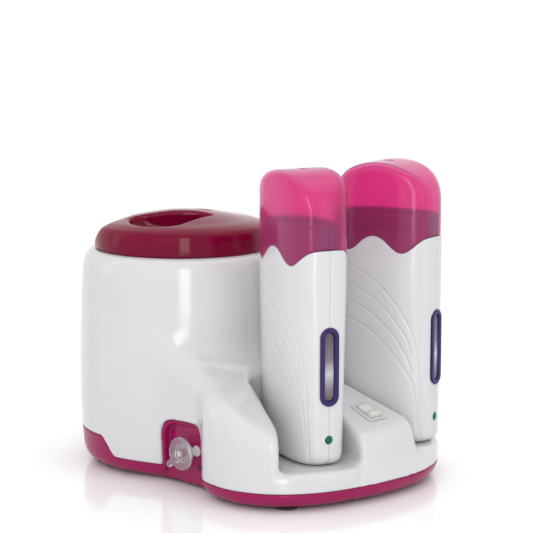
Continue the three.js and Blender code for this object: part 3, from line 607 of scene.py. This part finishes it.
def tray_field(x, y, z):
    """Base tray: floor and rim, the panel's wall and side lip, the inlet's opening, the bosses."""
    form = tray_solid(x, y, z)
    shell = np.maximum(form, -(form + WALL))
    shell = smax(shell, z - split_height(x, y) + SEAM, 0.8)
    wall = block(x, y, z, (PANEL_X0 - 2.5, PANEL_Y, 3),
                 (PANEL_X1 + 5, PANEL_Y + WALL, PANEL_TOP + 1.2), 0.6)
    lip = np.maximum(panel_recess(x, z, -0.25), -panel_recess(x, z, -2.2))
    lip = np.maximum(np.maximum(lip, housing_solid(x, y, z) + 0.9),
                     np.maximum(y - PANEL_Y - 1, 9.0 - z))
    lip = np.maximum(lip, x - PANEL_X1 + 3)
    front = np.maximum(panel_recess(x, z), y - PANEL_Y)
    front = np.maximum(front, PANEL_FOOT - z)
    shell = smax(shell, -front, 1.2)
    shell = smin(smin(shell, wall, 1.5), lip, 0.8)
    inlet = block(x, y, z, (POT.x - INLET_HALF, 30, INLET_Z0), (POT.x + INLET_HALF, 60, INLET_Z1), 1.0)
    return screwed(smax(shell, -inlet, 0.5), x, y, z)


def make_housing():
    low, high = low_mm("upper_housing") - Vector((3, 3, 0)), high_mm("upper_housing") + Vector((3, 3, 3))
    low.z = SPLIT_Z - 4
    piece = mesh_field("housing_shell", housing_field, low, high, 1.1)
    put(*piece, "housing", "white_abs", MATERIALS["white_abs"], ["upper_housing"])
    low, high = low_mm("base_tray") - Vector((3, 3, 2)), high_mm("base_tray") + Vector((3, 3, 4))
    piece = mesh_field("base_shell", tray_field, low, high, 0.95)
    put(*piece, "housing", "raspberry_abs", MATERIALS["raspberry_abs"], ["base_tray"])


# ------------------------------------------------------------------ pot: lid, bucket, well
LID_Z0, LID_WALL = 146.95, 2.0
GRIP_TURN = math.radians(47)
# The sloping flat: the way it faces in plan, how steeply it falls, and a point on it.
FLAT_TURN, FLAT_FALL, FLAT_OUT, FLAT_Z = math.radians(199), math.atan(0.937), 36.6, 164.4
LID_PROFILE = [(60.0, 147.1), (60.2, 151), (59.6, 157), (58.4, 160.8), (57.0, 162.6), (55, 163.6),
               (50, 165.3), (41, 166.9), (30, 169), (18, 170.9), (8, 172.1), (0, 172.4)]
# Plan outline of the hollow in front of the grip bar, as distances along and across the bar.
HOLLOW = [(-36, -18), (-34, -29), (-27, -39), (-16, -44.5), (-4, -42), (6, -32), (14, -21),
          (20, -12.5), (14, -9), (0, -8.6), (-14, -8.6), (-28, -9), (-34, -12)]
BAR_MIDDLE = -2.0


def lid_outline():
    """Side view of the lid, carried on below its rim."""
    outer = [(0, 120), (60, 120)] + LID_PROFILE[:4] + [tuple(p) for p in catmull(LID_PROFILE[4:], 5)]
    return Outline(both_sides(outer), step=0.4)


LID_SIDE = lid_outline()
HOLLOW_PLAN = Outline(catmull(HOLLOW + HOLLOW[:1], 6), margin=60.0, step=0.4)


def lid_cuts(x, y, z):
    """What is taken out of the dome: two finger hollows and the sloping flat at the back left."""
    c, s = math.cos(GRIP_TURN), math.sin(GRIP_TURN)
    along, across = x * c + y * s, -x * s + y * c
    cuts = None
    for side in (-1, 1):
        b = BAR_MIDDLE - side * (across - BAR_MIDDLE)
        bowl = np.sqrt(((along + 5) / 44) ** 2 + ((b + 14) / 44) ** 2 + ((z - 180) / 23.5) ** 2)
        bowl = (bowl - 1) * 20
        hollow = smax(HOLLOW_PLAN(along, b), bowl, 5.0)
        cuts = hollow if cuts is None else np.minimum(cuts, hollow)
    out = x * math.cos(FLAT_TURN) + y * math.sin(FLAT_TURN)
    flat = -((out - FLAT_OUT) * math.sin(FLAT_FALL) + (z - FLAT_Z) * math.cos(FLAT_FALL))
    return smin(cuts, smax(flat, 150.5 - z, 6.0), 3.0)


def lid_field(x, y, z):
    """The lid: a thin shell open below."""
    x, y = x - POT.x, y - POT.y
    form = smax(LID_SIDE(np.hypot(x, y), z), -lid_cuts(x, y, z), 2.2)
    shell = np.maximum(form, -(form + LID_WALL))
    return smax(shell, LID_Z0 - z, 1.4)


def make_lid():
    low, high = low_mm("pot_lid") - Vector((3, 3, 3)), high_mm("pot_lid") + Vector((3, 3, 3))
    piece = mesh_field("lid_shell", lid_field, low, high, 0.9, 4)
    put(*piece, "lid", "ruby_clear", MATERIALS["ruby_clear"], ["pot_lid"])


def turned_mesh(profile, segments=128):
    """Closed solid of revolution about Z from a closed (radius, height) outline."""
    ring = [(max(r, 0.0), z) for r, z in profile]
    verts, faces, rows = [], [], []
    for r, z in ring:
        if r < 1e-6:
            verts.append((0, 0, z))
            rows.append([len(verts) - 1] * segments)
            continue
        first = len(verts)
        for k in range(segments):
            turn = 2 * math.pi * k / segments
            verts.append((r * math.cos(turn), r * math.sin(turn), z))
        rows.append(list(range(first, first + segments)))
    for a, b in zip(rows, rows[1:]):
        for k in range(segments):
            n = (k + 1) % segments
            face = []
            for index in (a[k], a[n], b[n], b[k]):
                if index not in face:
                    face.append(index)
            if len(face) > 2:
                faces.append(face)
    return np.array(verts), faces


def rounded(profile, radius, steps=5):
    """Rounds the corners of an open polyline with arcs of about the given radius."""
    pts = [Vector((r, z)) for r, z in profile]
    out = [pts[0]]
    for before, corner, after in zip(pts, pts[1:], pts[2:]):
        reach = min(radius, (corner - before).length * 0.48, (after - corner).length * 0.48)
        start = corner + (before - corner).normalized() * reach
        end = corner + (after - corner).normalized() * reach
        for k in range(steps + 1):
            t = k / steps
            out.append(start * (1 - t) ** 2 + corner * 2 * t * (1 - t) + end * t * t)
    out.append(pts[-1])
    return [(p.x, p.y) for p in out]


def make_pot_insides():
    """The lift-out bucket and the heating well around it, both turned."""
    place = Matrix.Translation(Vector((POT.x, POT.y, 0)) * MM)
    r, z0, z1 = 48.6, 57.6, 143.2
    bucket = rounded([(0, z0), (r, z0), (r, z1 - 1.4), (52.6, z1 - 1.4), (52.6, z1), (r - 0.8, z1),
                      (r - 0.8, z0 + 0.8), (0, z0 + 0.8)], 4.0)
    verts, faces = turned_mesh(bucket)
    put("wax_bucket", verts, faces, "bucket", "aluminium", MATERIALS["aluminium"], ["inner_bucket"],
        matrix=place)
    r, z0, z1 = 51.0, 56.0, 141.2
    well = rounded([(0, z0), (r, z0), (r, z1 - 1.2), (57.5, z1 - 1.2), (57.5, z1), (r - 1.2, z1),
                    (r - 1.2, z0 + 1.2), (0, z0 + 1.2)], 3.0)
    verts, faces = turned_mesh(well)
    put("well_cup", verts, faces, "housing", "aluminium", MATERIALS["aluminium"], ["heating_well"],
        matrix=place)


# ------------------------------------------------------------------ roll-on heaters
# Height, half width and half thickness of the section up the body.
LEVELS = np.array([[-5, 36.0, 17.6], [9, 36.1, 17.9], [60, 36.3, 19.5], [112, 36.4, 21.2],
                   [220, 36.4, 21.2]])


def half_sizes(z):
    """Half width and half thickness of the body at a height."""
    return np.interp(z, LEVELS[:, 0], LEVELS[:, 1]), np.interp(z, LEVELS[:, 0], LEVELS[:, 2])


def section(u, v, half_u, half_v):
    """Distance-like field of the rounded section."""
    g = ((np.abs(u) / half_u) ** ROLL_POWER + (np.abs(v) / half_v) ** ROLL_POWER) ** (1 / ROLL_POWER)
    g = np.maximum(g, 1e-3)
    return (g - 1) * np.hypot(u, v) / g * 0.8


def wave(u):
    """Height of the joint line between cap and body."""
    along = np.clip(np.abs(u) / ROLL_U, 0, 1)
    middle, swing = (WAVE_HIGH + WAVE_LOW) / 2, (WAVE_HIGH - WAVE_LOW) / 2
    return middle + swing * np.cos(2 * np.pi * along ** 1.12)


def grooves(u, v, z):
    """Depth of the four curved grooves on the two broad faces."""
    deep = np.clip(1 - GROOVES(u, z) / GROOVE_HALF, 0, 1)
    return np.where(np.abs(v) > 9, GROOVE_DEPTH * deep, 0)


def groove_lines():
    """Where the grooves run, as (u, z) on a broad face: each sweeps down to the crease."""
    lines = [[(-35, 121), (-19, 117.7), (-2.5, 110.3), (8.7, 101.3), (16.1, 92.7), (22.1, 83.4),
              (25.9, 75.8), (28.1, 67.4), (29.7, 56.3), (30.4, 31), (31, 4)],
             [(-35, 109), (-19.7, 105.6), (-2.4, 97.7), (8.8, 89.4), (16.3, 80.8), (21.5, 73.4), (24.5, 66.4),
              (26, 60)],
             [(-35, 97), (-19.6, 93.5), (-6, 88.7), (5.2, 81.1), (12.7, 73.8), (20.1, 63.3), (23.9, 55.7),
              (26, 49)],
             [(-35, 85), (-19.5, 81.5), (-5.9, 76.7), (5.3, 68.4), (12.8, 61.2), (18.8, 53.8), (24, 45.7),
              (26.3, 41.9), (28.4, 30), (29.4, 12)]]
    return [catmull(line, 4) for line in lines]


class Lines(Outline):
    """Unsigned distance to a set of open lines in the plane."""

    def __init__(self, lines, low, high, step):
        self.low, self.step = np.array(low, np.float32), step
        x, y = (np.arange(a, b, step, dtype=np.float32) for a, b in zip(low, high))
        x, y = x[:, None], y[None, :]
        best = np.full((x.size, y.size), 1e4, np.float32)
        for line in lines:
            for (ax, ay), (bx, by) in zip(line, line[1:]):
                ex, ey = bx - ax, by - ay
                t = np.clip(((x - ax) * ex + (y - ay) * ey) / (ex * ex + ey * ey), 0, 1)
                best = np.minimum(best, (x - ax - t * ex) ** 2 + (y - ay - t * ey) ** 2)
        self.table = np.sqrt(best)


GROOVES = Lines(groove_lines(), (-45, -8), (45, 160), 0.25)


def roll_outer(u, v, z):
    """The body's outside, without its top, grooves taken out."""
    half_u, half_v = half_sizes(z)
    side = smax(section(u, v, half_u, half_v), -z, 7.0)
    return side + grooves(u, v, z)


def capsule(a, b, length, width):
    """A long round-ended outline, upright in b."""
    half = (length - width) / 2
    return np.hypot(a, np.maximum(np.abs(b) - half, 0)) - width / 2


def roll_field(u, v, z):
    """A whole roll-on body: hollow, with its neck and the holes for window, lamp and connector."""
    outer = smax(roll_outer(u, v, z), z - wave(u), 0.7)
    half_u, half_v = half_sizes(z)
    neck = smax(section(u, v, ROLL_U - NECK_INSET, ROLL_V - NECK_INSET), z - NECK_TOP, 1.0)
    neck = np.maximum(neck, NECK_FOOT - z)
    form = np.minimum(outer, neck)
    inset = NECK_INSET + NECK_WALL
    core = np.where(z < NECK_FOOT + 4, section(u, v, half_u - ROLL_WALL, half_v - ROLL_WALL),
                    section(u, v, ROLL_U - inset, ROLL_V - inset))
    form = np.maximum(form, -np.maximum(core, ROLL_WALL - z))
    hole = np.maximum(capsule(v, z - WINDOW_Z, WINDOW_LENGTH - 1.2, WINDOW_WIDTH - 1.2), 28 - u)
    lamp = np.maximum(np.hypot(v, z - LAMP_Z) - 2.7, 28 - u)
    socket = np.maximum(block(u, v, z, (-8, -3.6, -3), (8, 3.6, 4), 0.4), z - 4)
    return smax(np.maximum(np.maximum(form, -lamp), -socket), -hole, 0.4)


def cap_form(u, v, z, grow):
    """The cap's outside, arched across its width, moved outwards by grow."""
    half_u, half_v = ROLL_U + grow, ROLL_V + grow
    side = section(u, v, half_u, half_v)
    height = (CAP_TOP - CAP_SHOULDER) + grow
    g = ((np.abs(u) / half_u) ** 2 + (np.maximum(z - CAP_SHOULDER, 0) / height) ** 2) ** 0.5
    arch = (g - 1) * np.hypot(u, np.maximum(z - CAP_SHOULDER, 0)) / np.maximum(g, 1e-3)
    return smax(side, arch, 6.0 + grow)


def cap_field(u, v, z):
    """The cap: a shell open below, with a small dimple in its top."""
    dimple = np.sqrt((u / 4.5) ** 2 + (v / 2.0) ** 2 + (z - CAP_TOP) ** 2) - 1
    form = np.maximum(smax(cap_form(u, v, z, 0.0), -dimple, 0.6), -cap_form(u, v, z, -CAP_WALL))
    return smax(form, wave(u) + 0.3 - z, 0.8)


def capsule_ring(outer, inner, depth, segments=48):
    """Points of a bezel: a capsule outline swept through rounded depth, open in the middle."""
    def outline(length, width):
        half, r = (length - width) / 2, width / 2
        pts = []
        for k in range(segments):
            turn = 2 * math.pi * k / segments
            y, z = r * math.cos(turn), r * math.sin(turn)
            pts.append((y, z + (half if z > 1e-9 or (abs(z) <= 1e-9 and k == 0) else -half)))
        return pts
    (lo, wo), (li, wi) = outer, inner
    rows = []
    for x, length, width in ((-depth, lo - 1.2, wo - 1.2), (0.0, lo - 1.2, wo - 1.2), (0.0, lo, wo),
                             (0.45, lo, wo), (0.8, lo - 0.5, wo - 0.5), (0.9, lo - 1.2, wo - 1.2),
                             (0.9, li + 1.4, wi + 1.4), (0.75, li + 0.6, wi + 0.6), (0.2, li, wi),
                             (-depth, li, wi)):
        rows.append([(x, y, z) for y, z in outline(length, width)])
    verts = [p for row in rows for p in row]
    faces = []
    for a in range(len(rows)):
        b = (a + 1) % len(rows)
        for k in range(segments):
            n = (k + 1) % segments
            faces.append([a * segments + k, a * segments + n, b * segments + n, b * segments + k])
    return np.array(verts), faces


def dome_disc(radius, rise, depth, rings=8, segments=40, stretch=0.0):
    """A lens: a domed round (or capsule) disc facing +X, with a cylindrical skirt behind it."""
    rows = [(-depth, radius)]
    for k in range(rings):
        turn = math.pi / 2 * k / rings
        rows.append((rise * math.sin(turn), radius * math.cos(turn)))
    verts, faces = [], []
    for x, r in rows:
        for k in range(segments):
            turn = 2 * math.pi * k / segments
            y, z = r * math.cos(turn), r * math.sin(turn)
            verts.append((x, y, z + (stretch if k < segments / 2 else -stretch)))
    for a in range(len(rows) - 1):
        for k in range(segments):
            n = (k + 1) % segments
            i, j = a * segments, (a + 1) * segments
            faces.append([i + k, i + n, j + n, j + k])
    last = (len(rows) - 1) * segments
    faces.append(list(range(last, last + segments)))
    faces.append(list(range(segments))[::-1])
    return np.array(verts), faces


def half_shell(part, sign):
    """Mesh of one half of the body; points next to the parting plane are laid flat on it."""
    gap = 0.05

    def half(u, v, z):
        return np.maximum(roll_field(u, v, z), sign * v + gap)

    low = (-38.5, -23.5 if sign > 0 else -2.0, -2.0)
    high = (38.5, 2.0 if sign > 0 else 23.5, 154.0)
    _, verts, quads = mesh_field(part, half, low, high, 0.62)
    parting = np.abs(verts[:, 1] + sign * gap) < 0.4
    verts[parting, 1] = -sign * gap
    return verts, quads


def make_roll_ons():
    """Both roll-ons from one set of meshes, each turned outwards and set in its pocket."""
    halves = {"near_shell": half_shell("near_shell", 1), "far_shell": half_shell("far_shell", -1)}
    cap = mesh_field("cap", cap_field, (-38.5, -23.5, 123.0), (38.5, 23.5, 188.0), 0.8, 7)
    for label, side in ROLLS.items():
        centre = ROLL_CENTRE[label]
        place = Matrix.Translation(Vector((centre.x, centre.y, ROLL_Z)) * MM)
        place = place @ Matrix.Rotation(side * SPLAY, 4, "Z")
        body = f"{label}_rollon"
        for part, (verts, quads) in halves.items():
            shell = put(f"{label}_{part}", verts, quads, body, "white_abs", MATERIALS["white_abs"],
                        [f"{label}_rollon_{part}"], matrix=place)
            # Faces on the neck above the joint line take the grey as painted shade, darkening the band seen
            # through the cap.
            shell.data.materials.append(MATERIALS["neck_painted_shade"])
            middles = verts[quads].mean(axis=1)
            on_neck = middles[:, 2] > wave(middles[:, 0]) + 0.2
            shell.data.polygons.foreach_set("material_index", on_neck.astype(np.int32))
        put(f"{label}_clear_cap", cap[1], cap[2], f"{label}_cap", "pink_clear", MATERIALS["pink_clear"],
            [f"{label}_cap"], matrix=place)
        window = place @ Matrix.Translation(Vector((ROLL_U - 0.1, 0, WINDOW_Z)) * MM)
        verts, faces = capsule_ring((WINDOW_LENGTH, WINDOW_WIDTH), (SLOT_LENGTH, SLOT_WIDTH), 3.0)
        put(f"{label}_bezel", verts, faces, body, "indigo_plastic", MATERIALS["indigo_plastic"],
            [f"{label}_rollon_window_bezel"], matrix=window)
        verts, faces = dome_disc(3.3, 0.5, 2.4, stretch=(SLOT_LENGTH - SLOT_WIDTH) / 2)
        put(f"{label}_lens", verts, faces, body, "window_clear", MATERIALS["window_clear"],
            [f"{label}_rollon_window_lens"],
            matrix=window @ Matrix.Translation(Vector((-0.6, 0, 0)) * MM))
        lamp = place @ Matrix.Translation(Vector((ROLL_U - 0.75, 0, LAMP_Z)) * MM)
        verts, faces = dome_disc(2.4, 1.1, 4.0)
        put(f"{label}_lamp", verts, faces, body, "green_lens", MATERIALS["green_lens"],
            [f"{label}_rollon_led"], matrix=lamp)


# ------------------------------------------------------------------ control panel
def along_y(verts):
    """Turns a mesh built about Z so that it faces the front, along -Y."""
    return [(x, -z, y) for x, y, z in verts]


def rod(a, b, start, end, radius):
    """A round-ended bar along a, seen from its front."""
    return np.hypot(np.maximum(a - end, 0) + np.maximum(start - a, 0), b) - radius


def make_knob():
    """The clear knob: disc, ring groove, hub, pointer lug and grip, with a screw in its middle."""
    disc_radius, boss_radius, hub_radius, shaft_radius, bore_radius = 10.9, 4.2, 5.6, 2.8, 2.9
    groove_radius, groove_half = 7.4, 1.5
    pointer = math.radians(38)
    place = Matrix.Translation(Vector((KNOB.x, PANEL_Y, KNOB.z)) * MM)

    def knob(x, y, z):
        out = PANEL_Y - y
        x, z = x - KNOB.x, z - KNOB.z
        r = np.hypot(x, z)
        disc = smax(r - disc_radius, np.maximum(5.4 - out, out - 8.5), 1.6)
        hub = smax(r - hub_radius, np.maximum(0.6 - out, out - 6.5), 0.6)
        boss = smax(r - boss_radius, np.maximum(6.0 - out, out - 9.8), 1.0)
        groove = np.maximum(np.abs(r - groove_radius) - groove_half, 7.6 - out)
        c, s = math.cos(pointer), math.sin(pointer)
        a, b = -x * c - z * s, x * s - z * c
        lug = smax(rod(a, b, 4, 14.2, 2.3), np.maximum(6.2 - out, out - 8.6), 1.2)
        grip = smax(rod(a, b, -1, 6.0, 3.4), np.maximum(6.0 - out, out - 9.3), 1.0)
        shaft = np.maximum(r - shaft_radius, np.maximum(-6.0 - out, out - 1.0))
        form = smin(smin(smax(disc, -groove, 0.8), hub, 1.0), smin(boss, lug, 1.0), 0.8)
        bore = np.maximum(r - bore_radius, 7.6 - out)
        return np.minimum(smax(smin(form, grip, 0.6), -bore, 0.5), shaft)

    low = (KNOB.x - 17.5, PANEL_Y - 11.0, KNOB.z - 15.0)
    high = (KNOB.x + 13.0, PANEL_Y + 7.5, KNOB.z + 13.0)
    piece = mesh_field("dial_knob", knob, low, high, 0.4)
    put(*piece, "knob", "frosted_clear", MATERIALS["frosted_clear"], ["thermostat_knob"])

    head = [(0, 0.2), (2.0, 0.2), (2.5, 0.5), (2.5, 1.3), (1.9, 1.75), (0, 1.9)]
    verts, faces = turned_mesh(head, 32)
    lift = Matrix.Translation(Vector((0, -7.6, 0)) * MM)
    put("dial_screw", along_y(verts), faces, "knob", "steel", MATERIALS["steel"], ["knob_screw"],
        matrix=place @ lift)


def stroke(name, points, width):
    """A printed mark standing a hair proud of the panel: a flat ribbon along the points."""
    verts, faces = [], []
    height = 0.12
    pts = [Vector(p) for p in points]
    for i, p in enumerate(pts):
        before, after = pts[max(i - 1, 0)], pts[min(i + 1, len(pts) - 1)]
        run = (after - before).normalized()
        side = Vector((-run.y, run.x)) * width / 2
        for q in (p + side, p - side):
            verts.append((q.x, PANEL_Y - height, q.y))
            verts.append((q.x, PANEL_Y + 0.3, q.y))
    for i in range(len(pts) - 1):
        a = 4 * i
        for j, k in ((0, 1), (1, 3), (3, 2), (2, 0)):
            faces.append([a + j, a + k, a + 4 + k, a + 4 + j])
    last = 4 * (len(pts) - 1)
    faces.append([0, 2, 3, 1])
    faces.append([last, last + 1, last + 3, last + 2])
    put(name, verts, faces, "housing", "white_abs", MATERIALS["print_white"], smooth=False)


def make_panel_marks():
    """Plain printed marks, the blank disc and the pilot lamp."""
    tick_x = -2.7
    stroke("tick_mark", [(tick_x, 12.6), (tick_x, 8.8)], 0.8)
    stroke("tick_dot", [(tick_x - 0.7, 8.2), (tick_x + 0.7, 8.2)], 1.4)
    stroke("heat_mark", [(18.4, 8.6), (19.6, 8.6), (20.4, 10.6), (21.4, 6.6), (22.4, 10.2), (23.4, 6.4),
                         (24.2, 8.4), (25.4, 8.4)], 0.6)
    verts, faces = turned_mesh([(0, -0.9), (3.6, -0.9), (3.6, 0.5), (3.2, 0.85), (2.6, 0.75),
                                (0, 0.75)], 48)
    place = Matrix.Translation(Vector((21, PANEL_Y, 25.4)) * MM)
    put("blank_disc", along_y(verts), faces, "housing", "white_abs", MATERIALS["white_abs"],
        ["panel_disc"], matrix=place)
    verts, faces = turned_mesh([(0, -4), (1.6, -4), (1.6, 0.3), (1.2, 0.8), (0.5, 1.05), (0, 1.1)], 32)
    place = Matrix.Translation(Vector((24, PANEL_Y, 14.8)) * MM)
    put("pilot_lens", along_y(verts), faces, "housing", "smoked_lens", MATERIALS["smoked_lens"],
        ["pilot_lamp"], matrix=place)


# ------------------------------------------------------------------ rocker switch
def make_rocker():
    """The switch on the dock's slope: a thin surround and a dished key, pressed at one end."""
    tilt = Matrix.Translation(SWITCH * MM) @ Matrix.Rotation(SLOPE, 4, "Y")

    def surround(x, y, z):
        plate = upright(x, y, z, SWITCH_PLATE, 0.05, 0.75, 0.6)
        neck = upright(x, y, z, SWITCH_NECK, -8, 0.6, 0.6)
        hole = upright(x, y, z, KEY_WELL, -12, 3, 0.6)
        return smax(np.minimum(plate, neck), -hole, 0.5)

    _, verts, quads = mesh_field("surround", surround, (-11, -9.2, -9), (11, 9.2, 2.2), 0.4)
    # The surround takes the darker copy of the cream plastic as painted shade; its slot stays cream_plastic.
    put("switch_surround", verts, quads, "housing", "cream_plastic", MATERIALS["cream_painted_shade"],
        ["switch_frame"], matrix=tilt)

    def rocker(x, y, z):
        dish = z - (1.9 + 0.21 * np.abs(x))
        sides = upright(x, y, z, KEY_SIZE, -4, 3.4, 0.8)
        return smax(sides, dish * 0.97, 0.7)

    _, verts, quads = mesh_field("rocker", rocker, (-7.4, -5.6, -5), (7.4, 5.6, 4.2), 0.35)
    tilt = Matrix.Translation(SWITCH * MM) @ Matrix.Rotation(SLOPE - KEY_TILT, 4, "Y")
    put("rocker_key", verts, quads, "rocker", "cream_plastic", MATERIALS["cream_plastic"],
        ["rocker_button"], matrix=tilt)


# ------------------------------------------------------------------ stage
def make_stage():
    """A plain pale floor and an even white world."""
    mesh = bpy.data.meshes.new("floor")
    size = 6.0
    corners = [(-size, -size, 0), (size, -size, 0), (size, size, 0), (-size, size, 0)]
    mesh.from_pydata(corners, [], [[0, 1, 2, 3]])
    floor = bpy.data.objects.new("floor", mesh)
    bpy.context.scene.collection.objects.link(floor)
    material, tree, shader = new_material("floor")
    noise = node(tree, "ShaderNodeTexNoise", Scale=3.0, Detail=2.0)
    tree.links.new(ramp(tree, noise.outputs["Fac"], 0.12, 0.16), shader.inputs["Roughness"])
    shader.inputs["Base Color"].default_value = (0.94, 0.94, 0.945, 1)
    mesh.materials.append(material)
    world = bpy.data.worlds.new("studio")
    bpy.context.scene.world = world
    world.use_nodes = True
    background = world.node_tree.nodes["Background"]
    background.inputs["Color"].default_value = (1.0, 1.0, 1.0, 1)
    background.inputs["Strength"].default_value = 1.02


def area_light(name, place, target, size, power):
    """A soft light; it isn't seen straight through the clear plastics."""
    data = bpy.data.lights.new(name, "AREA")
    data.shape = "RECTANGLE"
    data.size, data.size_y = size
    data.energy = power
    light = bpy.data.objects.new(name, data)
    light.location = place
    light.visible_transmission = False
    light.rotation_euler = (Vector(target) - Vector(place)).to_track_quat("-Z", "Y").to_euler()
    bpy.context.scene.collection.objects.link(light)


def make_lights():
    middle = (0.0, 0.0, 0.08)
    area_light("top", (0.1, 0.2, 1.5), middle, (1.2, 1.2), 2.5)
    area_light("left", (-1.1, -1.0, 0.7), middle, (0.3, 1.3), 1.0)
    area_light("right", (1.5, 0.2, 0.6), middle, (0.5, 1.2), 1.2)
    area_light("front", (0.9, -1.5, 0.9), middle, (1.4, 1.2), 1.5)
    area_light("fill", (1.05, -0.9, 0.42), middle, (0.3, 1.1), 5.0)
    bpy.context.scene.view_settings.view_transform = "Standard"


make_camera()
dress_cad_nodes()
make_housing()
make_lid()
make_pot_insides()
make_roll_ons()
make_knob()
make_panel_marks()
make_rocker()
make_stage()
make_lights()
